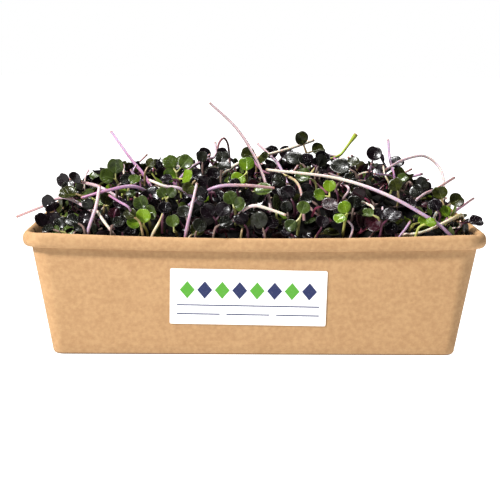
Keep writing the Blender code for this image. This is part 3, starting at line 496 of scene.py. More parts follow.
# The camera and the lights
CAMERA_PLACE = (-8.887 * MM, -599.037 * MM, 114.522 * MM)
CAMERA_YAW = 0.013
CAMERA_PITCH = 0.137
CAMERA_ROLL = 0.007
CAMERA_LENS = 110.2
AMBIENT = 0.043
BACKDROP = 1.0
PICTURE_GAMMA = 0.85
FLOOR_GLOW = 1.35
FLOOR_COLOUR = (0.2, 0.2, 0.2, 1)
FLOOR_HALF = 4.0
FLOOR_DROP = 0.05 * MM

# Soft lamps: name, place, size across and watts, all aimed at one point
LAMPS = (
    ("key", (-0.64, -0.54, 0.66), 0.15, 15),
    ("top", (0.05, 0.1, 0.8), 0.2, 5),
)
LAMP_AIM = (0, 0, 0.04)

# Worked out from the sizes above
FOOT_WIDTH = RIM_WIDTH - (RIM_LENGTH - FOOT_LENGTH)
FLARE = (RIM_LENGTH - FOOT_LENGTH) / 2
CORNER_GROWTH = (RIM_CORNER_RADIUS - FOOT_CORNER_RADIUS) / FLARE
LEAN = (UNDER_RIM_LENGTH - FOOT_LENGTH) / 2 / (TRAY_HEIGHT - BEAD_HEIGHT)
BEAD_MIDDLE = TRAY_HEIGHT - BEAD_HEIGHT / 2

Station = namedtuple("Station", "share_x share_y out_x out_y")
Board = namedtuple("Board", "offset height turn on_lap")
LeafShape = namedtuple("LeafShape", "fold cup wave phase notch tint")


# Materials


class Finish:
    """A Principled material, with short ways to build what feeds it."""

    MIX_FIRST, MIX_SECOND, MIX_RESULT = 6, 7, 2

    def __init__(self, name, roughness, specular=0.5):
        self.material = bpy.data.materials.new(name)
        self.material.use_nodes = True
        self.tree = self.material.node_tree
        self.shader = self.tree.nodes["Principled BSDF"]
        self.shader.inputs["Roughness"].default_value = roughness
        self.shader.inputs["Specular IOR Level"].default_value = specular
        self.place = self.add("ShaderNodeTexCoord").outputs["Object"]

    def add(self, kind, **settings):
        node = self.tree.nodes.new(kind)
        for name, value in settings.items():
            setattr(node, name, value)
        return node

    def feed(self, socket, value):
        if isinstance(value, bpy.types.NodeSocket):
            self.tree.links.new(value, socket)
        else:
            socket.default_value = value

    def noise(self, scale, detail=3.0, stretch=(1, 1, 1), turn=(0, 0, 0)):
        mapping = self.add("ShaderNodeMapping")
        self.feed(mapping.inputs["Vector"], self.place)
        mapping.inputs["Rotation"].default_value = turn
        mapping.inputs["Scale"].default_value = stretch
        texture = self.add("ShaderNodeTexNoise")
        self.feed(texture.inputs["Vector"], mapping.outputs["Vector"])
        texture.inputs["Scale"].default_value = scale
        texture.inputs["Detail"].default_value = detail
        return texture.outputs["Fac"]

    def between(self, value, low, high, start=0.0, end=1.0):
        """The value carried from the range low to high to the range start to end."""
        node = self.add("ShaderNodeMapRange", interpolation_type="SMOOTHSTEP")
        for socket, number in zip(node.inputs, (value, low, high, start, end)):
            self.feed(socket, number)
        return node.outputs["Result"]

    def calculate(self, operation, first, second=0.0):
        node = self.add("ShaderNodeMath", operation=operation)
        self.feed(node.inputs[0], first)
        self.feed(node.inputs[1], second)
        return node.outputs[0]

    def plus(self, first, second):
        return self.calculate("ADD", first, second)

    def times(self, first, second):
        return self.calculate("MULTIPLY", first, second)

    def mix(self, share, first, second):
        node = self.add("ShaderNodeMix", data_type="RGBA")
        self.feed(node.inputs["Factor"], share)
        self.feed(node.inputs[self.MIX_FIRST], first)
        self.feed(node.inputs[self.MIX_SECOND], second)
        return node.outputs[self.MIX_RESULT]

    def own(self, attribute):
        """The three numbers that a mesh keeps at each point."""
        source = self.add("ShaderNodeAttribute", attribute_name=attribute)
        split = self.add("ShaderNodeSeparateXYZ")
        self.feed(split.inputs[0], source.outputs["Vector"])
        return split.outputs

    def colour(self, value):
        self.feed(self.shader.inputs["Base Color"], value)

    def roughness(self, value):
        self.feed(self.shader.inputs["Roughness"], value)

    def bump(self, height, distance, strength=1.0):
        node = self.add("ShaderNodeBump")
        node.inputs["Strength"].default_value = strength
        node.inputs["Distance"].default_value = distance
        self.feed(node.inputs["Height"], height)
        self.feed(self.shader.inputs["Normal"], node.outputs["Normal"])


def kraft_finish():
    """Kraft board: soft mottling, short fibres that lie three ways, a few dark specks, and a dark band of
    painted shade along the bottom edge.
    """
    made = Finish("kraft", 0.72, 0.35)
    mottling = made.noise(KRAFT_MOTTLING, 4)
    clouds = made.noise(KRAFT_CLOUDS, 3)
    fibres = [made.between(made.noise(1, 2, FIBRE_STRETCH, turn), 0.6, 0.74) for turn in FIBRE_TURNS]
    tone = made.plus(made.times(mottling, 0.7), made.times(clouds, 0.3))
    shade = made.mix(made.between(tone, 0.3, 0.7), KRAFT_DARK, KRAFT_PALE)
    board = made.mix(0.34, KRAFT, shade)
    pale = made.calculate("MAXIMUM", fibres[0], fibres[1])
    board = made.mix(made.times(pale, 0.22), board, KRAFT_PALE)
    board = made.mix(made.times(fibres[2], 0.25), board, KRAFT_DARK)
    specks = made.between(made.noise(KRAFT_SPECKS, 1), 0.7, 0.78)
    board = made.mix(made.times(specks, 0.35), board, KRAFT_DARK)
    split = made.add("ShaderNodeSeparateXYZ")
    made.feed(split.inputs[0], made.place)
    # Painted shade: darker at the very bottom edge, where the tray meets the floor, for the thin contact
    # shadow there
    contact_shade = made.between(split.outputs["Z"], *CONTACT_SHADE_HEIGHTS, 1.0, 0.0)
    made.colour(made.mix(contact_shade, board, KRAFT_CONTACT_SHADE))
    relief = made.plus(mottling, made.times(pale, 0.5))
    made.bump(relief, 0.06 * MM, 0.7)
    return made.material


def paper_finish():
    """White satin paper, hardly uneven."""
    made = Finish("label_paper", 0.32, 0.5)
    made.colour(made.mix(made.between(made.noise(900, 2), 0.35, 0.65), PAPER, PAPER_SHADE))
    made.bump(made.noise(2200, 2), 0.01 * MM, 0.5)
    return made.material


def ink_finish(name, colour):
    """Printing ink, paler in patches where the paper shows through."""
    made = Finish(name, 0.3, 0.5)
    paler = tuple(0.85 * part + 0.05 for part in colour[:3]) + (1,)
    made.colour(made.mix(made.between(made.noise(2600, 2), 0.5, 0.8), colour, paler))
    return made.material


def leaf_veins(made, across, along):
    """A midrib that fades towards the tip, and side veins that run forwards from it."""
    reach = made.calculate("ABSOLUTE", across)
    midrib = made.between(reach, *MIDRIB_EDGE, 1.0, 0.0)
    midrib = made.times(midrib, made.between(along, 0.2, 0.75, 1.0, 0.0))
    slant = made.calculate("SUBTRACT", along, made.times(reach, VEIN_SLANT))
    wander = made.times(made.noise(700, 2), 0.35)
    wave = made.calculate("PINGPONG", made.plus(slant, wander), VEIN_SPACING)
    side = made.between(wave, 0.0, 0.03, 1.0, 0.0)
    side = made.times(side, made.between(reach, 0.75, 1.0, 0.7, 0.0))
    return made.calculate("MAXIMUM", midrib, side)


def leaf_finishes(name):
    """A leaf's upper skin, with a painted highlight round its rim, its underside and its stalk."""
    light, deep, under, vein, stalk = LEAVES[name]

    upper = Finish(f"leaf_{name}_upper", 0.3, 0.4)
    across, along, tint = upper.own("leaf_map")
    veins = leaf_veins(upper, across, along)
    patches = upper.plus(tint, upper.between(upper.noise(420, 3), 0.3, 0.7, -0.3, 0.3))
    skin = upper.mix(upper.between(patches, 0.0, 1.0), deep, light)
    skin = upper.mix(upper.times(veins, 0.4), skin, vein)
    # Painted highlight: the upper skin turns paler towards the blade's rim
    squares = upper.plus(upper.calculate("POWER", across, 2.0), upper.calculate("POWER", along, 2.0))
    reach = upper.calculate("POWER", squares, 0.5)
    upper.colour(upper.mix(upper.between(reach, 0.92, 1.0, 0.0, 0.35), skin, LEAF_RIM_HIGHLIGHT))
    upper.roughness(upper.between(upper.noise(800, 2), 0.3, 0.7, 0.19, 0.36))
    upper.bump(upper.calculate("SUBTRACT", upper.noise(1300, 2), veins), 0.05 * MM, 0.8)

    lower = Finish(f"leaf_{name}_under", 0.5, 0.2)
    across, along, tint = lower.own("leaf_map")
    veins = leaf_veins(lower, across, along)
    skin = lower.mix(lower.between(tint, 0.0, 1.0, 0.0, 0.5), under, light)
    lower.colour(lower.mix(lower.times(veins, 0.45), skin, vein))
    lower.bump(lower.plus(lower.noise(1300, 2), veins), 0.05 * MM, 0.8)

    stem = Finish(f"leaf_{name}_stalk", 0.4, 0.45)
    stem.colour(stem.mix(stem.between(stem.noise(600, 2), 0.3, 0.7, 0.0, 0.6), stalk, vein))
    return upper.material, lower.material, stem.material


def stem_finish(first, last):
    """A juicy stem that changes colour along its length, with fine streaks and a browned cut end."""
    made = Finish(f"stem_{first}_{last}", 0.36, 0.5)
    along, depth, around = made.own("stem_map")
    drift = made.plus(along, made.between(made.noise(180, 2), 0.3, 0.7, -0.15, 0.15))
    skin = made.mix(made.between(drift, 0.15, 0.85), STEM_COLOURS[first], STEM_COLOURS[last])
    streaks = made.calculate("PINGPONG", made.times(around, 9.0), 0.5)
    pale = made.times(made.between(streaks, 0.25, 0.5), made.noise(260, 2))
    skin = made.mix(made.times(pale, 0.4), skin, STEM_HIGHLIGHT)
    ends = made.between(depth, 0.1, 1.1, 0.75, 0.0)
    made.colour(made.mix(ends, skin, STEM_COLOURS["cut"]))
    made.shader.inputs["Subsurface Weight"].default_value = 0.15
    made.shader.inputs["Subsurface Scale"].default_value = 0.6 * MM
    made.bump(made.noise(900, 2), 0.03 * MM, 0.6)
    return made.material


def core_finish():
    """Painted shade: a near-black for the deep shadow between the leaves."""
    made = Finish("heap_shade", 0.8, 0.15)
    tone = made.between(made.noise(260, 4), 0.35, 0.7)
    made.colour(made.mix(tone, *CORE_PAINTED_SHADES))
    made.bump(made.noise(500, 3), 0.4 * MM)
    return made.material


def once(make):
    """The same material each time that the same one is asked for."""
    made = {}

    def get(*names):
        if names not in made:
            made[names] = make(*names)
        return made[names]

    return get


leaf_materials = once(leaf_finishes)
stem_material = once(stem_finish)


# Meshes


class Net:
    """Points and faces of one piece, gathered from many small shapes."""

    def __init__(self, attribute=None):
        self.points, self.faces, self.kinds, self.maps = [], [], [], []
        self.attribute, self.count = attribute, 0

    def add(self, points, faces, kinds=None, maps=None):
        self.points.append(np.asarray(points, float))
        start = self.count
        self.faces += [tuple(start + corner for corner in face) for face in faces]
        self.kinds += list(kinds) if kinds is not None else [0] * len(faces)
        self.maps.append(np.asarray(maps, float) if maps is not None else np.zeros((len(points), 3)))
        self.count += len(points)

    def piece(self, name, materials, slot, replaces=(), sharp=40):
        mesh = bpy.data.meshes.new(name)
        mesh.from_pydata(np.vstack(self.points).tolist(), [], self.faces)
        for material in materials:
            mesh.materials.append(material)
        mesh.polygons.foreach_set("material_index", self.kinds)
        if self.attribute:
            layer = mesh.attributes.new(self.attribute, "FLOAT_VECTOR", "POINT")
            layer.data.foreach_set("vector", np.vstack(self.maps).astype(np.float32).ravel())
        mesh.shade_smooth()
        mesh.set_sharp_from_angle(angle=math.radians(sharp))
        mesh.update()
        made = bpy.data.objects.new(name, mesh)
        bpy.context.scene.collection.objects.link(made)
        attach(made, "root")
        if replaces:
            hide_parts(*replaces)
        return made


def ring_faces(rings, closed=True):
    """Quads between rings of point numbers, each ring going the same way round."""
    faces = []
    for ring, following in zip(rings, rings[1:]):
        for k in range(0 if closed else 1, len(ring)):
            faces.append((ring[k - 1], ring[k], following[k], following[k - 1]))
    return faces


# Tray


def spaced(length):
    """Shares from -1 to 1 along a side, its ends left out."""
    return np.linspace(-1, 1, round(length / SIDE_SPACING) + 1)[1:-1]


def outline_stations():
    """Points round the tray: shares of the way to a corner's centre, and the way outwards."""
    stations = []

    def corner(share_x, share_y, start):
        for angle in np.linspace(start, start + math.pi / 2, CORNER_STEPS + 1):
            stations.append(Station(share_x, share_y, math.cos(angle), math.sin(angle)))

    lap_edges = [LAP_CENTRE_Y + side * LAP_WIDTH / 2 + way * LAP_EDGE
                 for side in (-1, 1) for way in (-1, 1)]
    lap_shares = [y / (FOOT_WIDTH / 2) for y in lap_edges]
    corner(1, -1, -math.pi / 2)
    stations += [Station(1, share, 1, 0) for share in sorted([*spaced(FOOT_WIDTH), *lap_shares])]
    corner(1, 1, 0)
    stations += [Station(-share, 1, 0, 1) for share in spaced(FOOT_LENGTH)]
    corner(-1, 1, math.pi / 2)
    stations += [Station(-1, -share, -1, 0) for share in spaced(FOOT_WIDTH)]
    corner(-1, -1, math.pi)
    stations += [Station(share, -1, 0, -1) for share in spaced(FOOT_LENGTH)]
    return stations


def corner_at(offset):
    """The corner's radius, and its centre's x and y, at an offset outwards from the foot's outer edge."""
    radius = FOOT_CORNER_RADIUS + CORNER_GROWTH * offset
    return radius, FOOT_LENGTH / 2 + offset - radius, FOOT_WIDTH / 2 + offset - radius


def around_tray(station, offset):
    radius, centre_x, centre_y = corner_at(offset)
    x = station.share_x * centre_x + radius * station.out_x
    y = station.share_y * centre_y + radius * station.out_y
    return x, y


def wall_profile():
    """The board's section from the foot's outer edge round the hem, up inside and round the rim."""
    inner = -BOARD
    hem_outer = inner - 2 * GAP - BOARD
    hem_inner = hem_outer - BOARD
    points = [(FOOT_ROUNDING * (math.sin(a) - 1), FOOT_ROUNDING * (1 - math.cos(a)), 0)
              for a in np.linspace(math.pi / 2, 0, ARC_STEPS)[1:]]
    points += [
        (hem_inner + HEM_ROUNDING, 0, 0),
        (hem_inner + LEAN * HEM_ROUNDING, HEM_ROUNDING, 0),
        (hem_inner + LEAN * HEM_HEIGHT, HEM_HEIGHT, 0),
        (hem_outer + LEAN * HEM_HEIGHT, HEM_HEIGHT, 0),
        (hem_outer + LEAN * BOARD, BOARD, 0),
        (inner + LEAN * BOARD, BOARD, 0),
    ]
    under_bead = TRAY_HEIGHT - BEAD_HEIGHT - BOARD
    rows = np.linspace(BOARD, BEAD_MIDDLE, WALL_ROWS + 1)[1:-1]
    points += [(inner + LEAN * height, height, 0) for height in rows]
    profile = [Board(offset, height, None, lap) for offset, height, lap in points]
    bead_inside = inner + LEAN * BEAD_MIDDLE
    half_width = (FLARE - bead_inside) / 2
    turns = math.pi - np.linspace(0, BEAD_TURN, BEAD_STEPS + 1)
    for depth, order in ((0, turns), (BOARD, turns[::-1])):
        for turn in order:
            across = bead_inside + half_width + (half_width - depth) * math.cos(turn)
            height = BEAD_MIDDLE + (BEAD_HEIGHT / 2 - depth) * math.sin(turn)
            profile.append(Board(across, height, turn, 0))
    for height in np.linspace(under_bead, FOOT_ROUNDING, WALL_ROWS):
        profile.append(Board(LEAN * height, height, None, 1))
    return profile


def bump_at(value, centre, reach):
    return math.exp(-(((value - centre) / reach) ** 2))


def lap_share(station):
    """1 where the wall's overlapped end is, 0 elsewhere."""
    on_side = station.out_x == 1
    return on_side and abs(station.share_y * FOOT_WIDTH / 2 - LAP_CENTRE_Y) < LAP_WIDTH / 2


def bead_change(station, x, turn):
    """How far the rolled rim stands in or out of its plain shape: pleats, a dent and a slit."""
    corner = math.atan2(abs(station.out_y), abs(station.out_x))
    pleat = math.sin(2 * corner) ** 2 * (0.5 - 0.5 * math.cos(4 * PLEATS * corner))
    change = -PLEAT_DEPTH * pleat
    if station.out_y == -1:
        change -= DENT_DEPTH * bump_at(x, DENT_X, DENT_REACH) * max(0, math.cos(turn - DENT_TURN))
    if station.out_x > 0 > station.out_y:
        slit = bump_at(corner, SLIT_CORNER_TURN, SLIT_REACH)
        slit *= bump_at(turn, SLIT_BEAD_TURN, SLIT_BEAD_REACH)
        change -= SLIT_DEPTH * slit
    return change


def ripple(point):
    return RIPPLE * noise.noise(Vector(point) / RIPPLE_LENGTH)


def tray_point(station, board):
    """The point of a station and of the board's section, with the rim's dip and the board's waviness."""
    offset = board.offset + LAP_RISE * lap_share(station) * board.on_lap
    height = board.height
    if board.turn is not None:
        change = bead_change(station, around_tray(station, offset)[0], board.turn)
        offset += change * math.cos(board.turn)
        height += change * math.sin(board.turn)
    x, y = around_tray(station, offset)
    dip = RIM_DIP * max(0, 1 - (2 * x / FOOT_LENGTH) ** 2) * (height / TRAY_HEIGHT) ** 3
    wave = ripple((x, y, height)) * min(1, height / HEM_HEIGHT)
    return (x + wave * station.out_x, y + wave * station.out_y, height - dip)


def build_wall():
    stations, profile = outline_stations(), wall_profile()
    net = Net()
    points = [tray_point(station, board) for station in stations for board in profile]
    numbers = np.arange(len(points)).reshape(len(stations), len(profile)).tolist()
    faces = ring_faces(numbers + numbers[:1])
    net.add(points, [face[::-1] for face in faces])
    return net.piece("tray_board", [kraft_finish()], "kraft", ["tray_wall"], sharp=50)


# Label


def label_point(x, z, depth):
    """A point of the label, x and z from its middle and depth outwards from the wall."""
    turned_x = x * math.cos(LABEL_TILT) - z * math.sin(LABEL_TILT)
    turned_z = x * math.sin(LABEL_TILT) + z * math.cos(LABEL_TILT)
    slope = math.atan(LEAN)
    height = LABEL_CENTRE_Z + turned_z * math.cos(slope) - depth * math.sin(slope)
    out = FOOT_WIDTH / 2 + LEAN * LABEL_CENTRE_Z + turned_z * math.sin(slope) + depth * math.cos(slope)
    side = LABEL_CENTRE_X + turned_x
    return (side, -out - ripple((side, -out, height)), height)


def label_half_width(z):
    into_corner = max(0, abs(z) - (LABEL_HEIGHT / 2 - LABEL_CORNER))
    return LABEL_WIDTH / 2 - LABEL_CORNER + math.sqrt(max(0, LABEL_CORNER**2 - into_corner**2))


def label_sheet(net):
    """The paper, with round corners: a grid of rows, thinned at its edges."""
    columns = np.linspace(-1, 1, LABEL_COLUMNS)
    turns = np.linspace(0, math.pi / 2, LABEL_CORNER_ROWS)
    corner_rows = [LABEL_HEIGHT / 2 - LABEL_CORNER * (1 - math.sin(turn)) for turn in turns]
    middle_rows = np.linspace(-1, 1, LABEL_ROWS)[1:-1] * (LABEL_HEIGHT / 2 - LABEL_CORNER)
    rows = [-z for z in corner_rows[::-1]] + list(middle_rows) + corner_rows
    for depth, flip in ((LABEL_STANDOFF + LABEL_THICKNESS, False), (LABEL_STANDOFF, True)):
        points = [label_point(u * label_half_width(z), z, depth) for z in rows for u in columns]
        numbers = np.arange(len(points)).reshape(len(rows), len(columns)).tolist()
        faces = ring_faces(numbers, closed=False)
        net.add(points, faces if flip else [face[::-1] for face in faces])
    size = len(rows) * len(columns)
    numbers = np.arange(size).reshape(len(rows), len(columns))
    edge = [*numbers[0, :], *numbers[1:, -1], *numbers[-1, -2::-1], *numbers[-2:0:-1, 0]]
    for a, b in zip(edge, edge[1:] + edge[:1]):
        net.faces.append((int(a), int(a) + size, int(b) + size, int(b)))
        net.kinds.append(0)


def ink(net, outline):
    """A closed film of ink over an outline of (x, z), a little proud of the paper."""
    low = LABEL_STANDOFF + LABEL_THICKNESS + INK_THICKNESS / 4
    count = len(outline)
    points = [label_point(x, z, low + depth) for depth in (0, INK_THICKNESS) for x, z in outline]
    front = tuple(range(count, 2 * count))
    back = tuple(range(count))[::-1]
    sides = [(k, (k + 1) % count, (k + 1) % count + count, k + count) for k in range(count)]
    net.add(points, [front, back, *sides])


def rule(net, centre_x, centre_z, length, height):
    """A straight line of ink, in short lengths that follow the paper."""
    marks = np.linspace(centre_x - length / 2, centre_x + length / 2, max(2, round(length / INK_STEP) + 1))
    low, high = centre_z - height / 2, centre_z + height / 2
    for left, right in zip(marks, marks[1:]):
        ink(net, [(left, low), (right, low), (right, high), (left, high)])


def diamond(net, centre_x):
    half_width, half_height = DIAMOND_WIDTH / 2, DIAMOND_HEIGHT / 2
    ink(net, [
        (centre_x, DIAMOND_Z - half_height),
        (centre_x + half_width, DIAMOND_Z),
        (centre_x, DIAMOND_Z + half_height),
        (centre_x - half_width, DIAMOND_Z),
    ])


def build_label():
    """A write-on label: a row of diamonds in two colours, a rule, and three lines to write on."""
    sheet, green, navy = Net(), Net(), Net()
    label_sheet(sheet)
    for number in range(DIAMONDS):
        diamond((green, navy)[number % 2], (number - (DIAMONDS - 1) / 2) * DIAMOND_SPACING)
    rule(navy, 0, RULE_Z, 3 * LINE_SPACING - (LINE_SPACING - LINE_LENGTH), RULE_HEIGHT)
    for number in (-1, 0, 1):
        rule(navy, number * LINE_SPACING, LINE_Z, LINE_LENGTH, RULE_HEIGHT)
    sheet.piece("label_sheet", [paper_finish()], "label_paper", ["label"])
    green.piece("label_print_green", [ink_finish("ink_green", INK_GREEN)], "label_paper", sharp=20)
    navy.piece("label_print_navy", [ink_finish("ink_navy", INK_NAVY)], "label_paper", sharp=20)


# Plan of the sprouts, the same as the solids'


def curve_through(points, spacing):
    """A smooth curve through the points, with a point about every `spacing`."""
    points = np.array(points, float)
    ends = np.vstack([2 * points[0] - points[1], points, 2 * points[-1] - points[-2]])
    fine = []
    for a, b, c, d in zip(ends, ends[1:], ends[2:], ends[3:]):
        slope, bend, twist = c - a, 2 * a - 5 * b + 4 * c - d, 3 * b - a - 3 * c + d
        for t in np.linspace(0, 1, CURVE_SAMPLES, endpoint=False):
            fine.append(b + (slope * t + bend * t**2 + twist * t**3) / 2)
    fine = np.array(fine + [points[-1]])
    along = np.concatenate([[0], np.cumsum(np.linalg.norm(np.diff(fine, axis=0), axis=1))])
    count = max(3, round(along[-1] / spacing) + 1)
    marks = np.linspace(0, along[-1], count)
    return np.array([np.interp(marks, along, fine[:, axis]) for axis in range(3)]).T


def heap_top(x, y):
    """How high the leaf tips reach."""
    fall_x = 1 - min(1, abs(x / HEAP_HALF_LENGTH)) ** 5
    fall_y = 1 - min(1, abs(y / HEAP_HALF_WIDTH)) ** 3
    return HEAP_EDGE_HEIGHT + HEAP_RISE * fall_x * fall_y


def core_top(x, y):
    """The surface that the heap's leaves are rooted in."""
    return heap_top(CORE_INSET * x, CORE_INSET * y) - CORE_UNDER_TIPS


def inside_wall(x, y, height):
    """How far a point is inside the wall's inner face, negative outside it."""
    radius, centre_x, centre_y = corner_at(LEAN * height - BOARD)
    past_x, past_y = abs(x) - centre_x, abs(y) - centre_y
    if past_x > 0 and past_y > 0:
        return radius - math.hypot(past_x, past_y)
    return radius - max(past_x, past_y)


def clear_of_tray(point, margin):
    x, y, z = point
    if z > TRAY_HEIGHT + margin:
        return abs(x) < RIM_LENGTH / 2 + LEAF_OVERHANG and abs(y) < RIM_WIDTH / 2
    return inside_wall(x, y, min(z, BEAD_MIDDLE)) > margin


def stalk_route(top):
    """A leaf pair's stalk: from its leaves down into the heap's core."""
    x, y, z = top
    foot_x, foot_y = STALK_FOOT_SCALE[0] * x, STALK_FOOT_SCALE[1] * y
    foot_z = core_top(foot_x, foot_y) - STALK_FOOT_DEPTH
    middle = ((x + foot_x) / 2, (y + foot_y) / 2, (z + foot_z) / 2 + STALK_BOW)
    return (top, middle, (foot_x, foot_y, foot_z))


def bend_clear(routes, radii):
    """Bends stems that come too near each other, so that each passes beside the next."""
    for _ in range(BEND_ROUNDS):
        touching = False
        for i, route in enumerate(routes):
            for j in range(i):
                other = routes[j]
                between = route[:, None] - other[None]
                distance = np.linalg.norm(between, axis=2)
                needed = radii[i] + radii[j] + STEM_CLEAR
                if distance.min() >= needed:
                    continue
                touching = True
                a, b = np.unravel_index(distance.argmin(), distance.shape)
                push = between[a, b] / distance[a, b] * (needed - distance[a, b]) * BEND_SHARE
                for stem, at, way in ((route, a, 1), (other, b, -1)):
                    steps = (np.arange(len(stem)) - at) * STEM_SPACING / BEND_REACH
                    stem += way * np.exp(-(steps**2))[:, None] * push
        if not touching:
            break


class Leaf:
    """One seed leaf: where its stalk ends, where its tip is, its width and the way that it faces."""

    def __init__(self, base, tip, width, facing):
        self.base, self.tip, self.width = Vector(base), Vector(tip), width
        along = self.tip - self.base
        self.length = along.length
        self.along = along.normalized()
        self.side = self.along.cross(Vector(facing)).normalized()
        self.face = self.side.cross(self.along)
        self.middle = (self.base + self.tip) / 2

    def outline(self, shrink, turns):
        points = []
        for degrees in turns:
            turn = math.radians(degrees)
            notch = 1 - NOTCH_DEPTH * math.exp(-((degrees / NOTCH_DEGREES) ** 2))
            points.append((
                shrink * self.width / 2 * math.sin(turn) * notch,
                shrink * self.length / 2 * math.cos(turn) * notch * (1 + TIP_DRAWN_OUT * math.cos(turn)),
            ))
        return points

    def point(self, across, along, lift=0.0):
        raised = lift + LEAF_FOLD * abs(across)
        return self.middle + self.side * across + self.along * along + self.face * raised

    def probes(self):
        turns = range(-180, 180, PROBE_DEGREES)
        rims = self.outline(1.0, turns) + self.outline(0.5, turns[::2]) + [(0, 0)]
        return np.array([self.point(across, along) for across, along in rims])

    def touches(self, points, margin):
        """Whether any of the points is nearer to the leaf's blade than the margin."""
        if len(points) == 0:
            return False
        offset = points - np.array(self.middle)
        across = offset @ np.array(self.side)
        along = offset @ np.array(self.along)
        height = offset @ np.array(self.face) - LEAF_FOLD * np.abs(across)
        in_blade = (across / (self.width / 2 + margin)) ** 2 + (along / (self.length / 2 + margin)) ** 2 < 1
        return bool((in_blade & (np.abs(height) < LEAF_THICKNESS / 2 + margin)).any())


def leaf_is_clear(leaf, stem_points, stem_margin, leaves):
    probes = leaf.probes()
    if not all(clear_of_tray(probe, LEAF_CLEAR + LEAF_THICKNESS / 2) for probe in probes):
        return False
    if leaf.touches(stem_points, stem_margin):
        return False
    margin = LEAF_CLEAR + LEAF_THICKNESS / 2
    for other in leaves:
        if (leaf.middle - other.middle).length > leaf.width + other.width:
            continue
        if other.touches(probes, margin) or leaf.touches(other.probes(), margin):
            return False
    return True


def plan_sprouts():
    """Routes of the bare stems and stalks, bent clear of each other, and the leaves of each pair."""
    routes = [curve_through(np.array(points) * MM, STEM_SPACING) for *_, points in STEMS]
    radii = [stem[0] * MM for stem in STEMS]
    for _, _, top, *_ in LEAF_PAIRS:
        routes.append(curve_through(stalk_route(np.array(top) * MM), STEM_SPACING))
        radii.append(STALK_RADIUS)
    bend_clear(routes, radii)
    settled, pairs = [], []
    for number, (_, width, _, *tips) in enumerate(LEAF_PAIRS):
        own = len(STEMS) + number
        others = np.vstack([route for k, route in enumerate(routes) if k != own])
        base = Vector(routes[own][0])
        draw = random.Random(number)
        pair = []
        for tip in tips:
            leaf = settle(base, Vector(tip) * MM, width * MM, draw, others, settled)
            if leaf:
                pair.append(leaf)
        pairs.append(pair)
        settled += pair
    return routes, pairs, settled


def settle(base, tip, width, draw, stem_points, leaves):
    """The leaf as wished for, or turned a little at a time until it is clear of what is near it."""
    for attempt in range(SETTLE_TRIES):
        loose = attempt / SETTLE_TRIES_PER_MM
        shift = Vector([draw.uniform(-1, 1) for _ in range(3)]) * loose * MM
        turn = Vector([draw.uniform(-1, 1) for _ in range(3)]) * loose * SETTLE_TURN
        facing = Vector(SETTLE_FACING) + turn
        leaf = Leaf(base, tip + shift, width, facing)
        if leaf_is_clear(leaf, stem_points, STEM_MARGIN, leaves):
            return leaf
    return None


def heap_normal(x, y):
    step = 1 * MM
    slope_x = (core_top(x + step, y) - core_top(x - step, y)) / (2 * step)
    slope_y = (core_top(x, y + step) - core_top(x, y - step)) / (2 * step)
    return Vector((-slope_x, -slope_y, 1)).normalized()


# Fine leaves and stems


class LeafNet:
    """The points and faces that every fine leaf is made with: rings round its middle, above and below."""

    def __init__(self, shares, sectors):
        turns = np.linspace(-math.pi, math.pi, sectors, endpoint=False)
        rows = [(0.0, 0.0, 1), (0.0, 0.0, -1)]
        upper, lower = [], []
        for share in shares:
            for level, rings in ((1, upper), (-1, lower)):
                if share == 1 and level == -1:
                    rings.append(upper[-1])
                    continue
                rings.append(list(range(len(rows), len(rows) + sectors)))
                rows += [(share, turn, level if share < 1 else 0) for turn in turns]
        self.share, self.turn, self.level = np.array(rows).T
        top = [(0, upper[0][k], upper[0][k - 1]) for k in range(sectors)]
        under = [(1, lower[0][k - 1], lower[0][k]) for k in range(sectors)]
        top += ring_faces(upper)
        under += [face[::-1] for face in ring_faces(lower)]
        self.faces = top + under
        self.kinds = [0] * len(top) + [1] * len(under)

    def points(self, leaf, shape):
        """The leaf's points, and its map: across, along and tint."""
        half_width = leaf.width / 2
        half_length = min(leaf.length, LONGEST_BLADE * leaf.width) / 2
        edge_across, edge_along = heart_edge(self.turn, shape.notch)
        across = half_width * self.share * edge_across
        along = half_length * self.share * edge_along
        height = blade_height(across, along, leaf.width, shape)
        height += shape.wave * np.sin(RIM_WAVES * self.turn + shape.phase) * self.share**3
        height += self.level * FINE_THICKNESS / 2 * np.sqrt(1 - EDGE_THINNING * self.share**4)
        middle = np.array(leaf.tip) - np.array(leaf.along) * half_length
        points = (
            middle
            + np.outer(across, leaf.side)
            + np.outer(along, leaf.along)
            + np.outer(height, leaf.face)
        )
        tint = np.full(len(across), shape.tint)
        return points, np.column_stack([across / half_width, along / half_length, tint])


def heart_edge(turn, notch):
    """The blade's edge: round, notched at the tip and drawn in towards its stalk."""
    dip = 1 - notch * np.exp(-((turn / NOTCH_TURN) ** 2))
    waist = 1 - WAIST_DEPTH * np.exp(-(((np.pi - np.abs(turn)) / WAIST_TURN) ** 2))
    return np.sin(turn) * dip * waist, np.cos(turn) * dip * (1 + TIP_POINT * np.cos(turn))


def blade_height(across, along, width, shape):
    """A crease along the rib, and a shallow cup."""
    soft = CREASE_SOFTNESS * width
    fold = shape.fold * (np.sqrt(across**2 + soft**2) - soft)
    return fold + shape.cup * (across**2 + along**2) / width


def random_shape(draw, fold=None):
    return LeafShape(
        fold=draw.uniform(*FOLD_RANGE) if fold is None else fold,
        cup=draw.uniform(*CUP_RANGE),
        wave=draw.uniform(*WAVE_RANGE) * MM,
        phase=draw.uniform(0, 2 * math.pi),
        notch=draw.uniform(*NOTCH_RANGE),
        tint=draw.random(),
    )


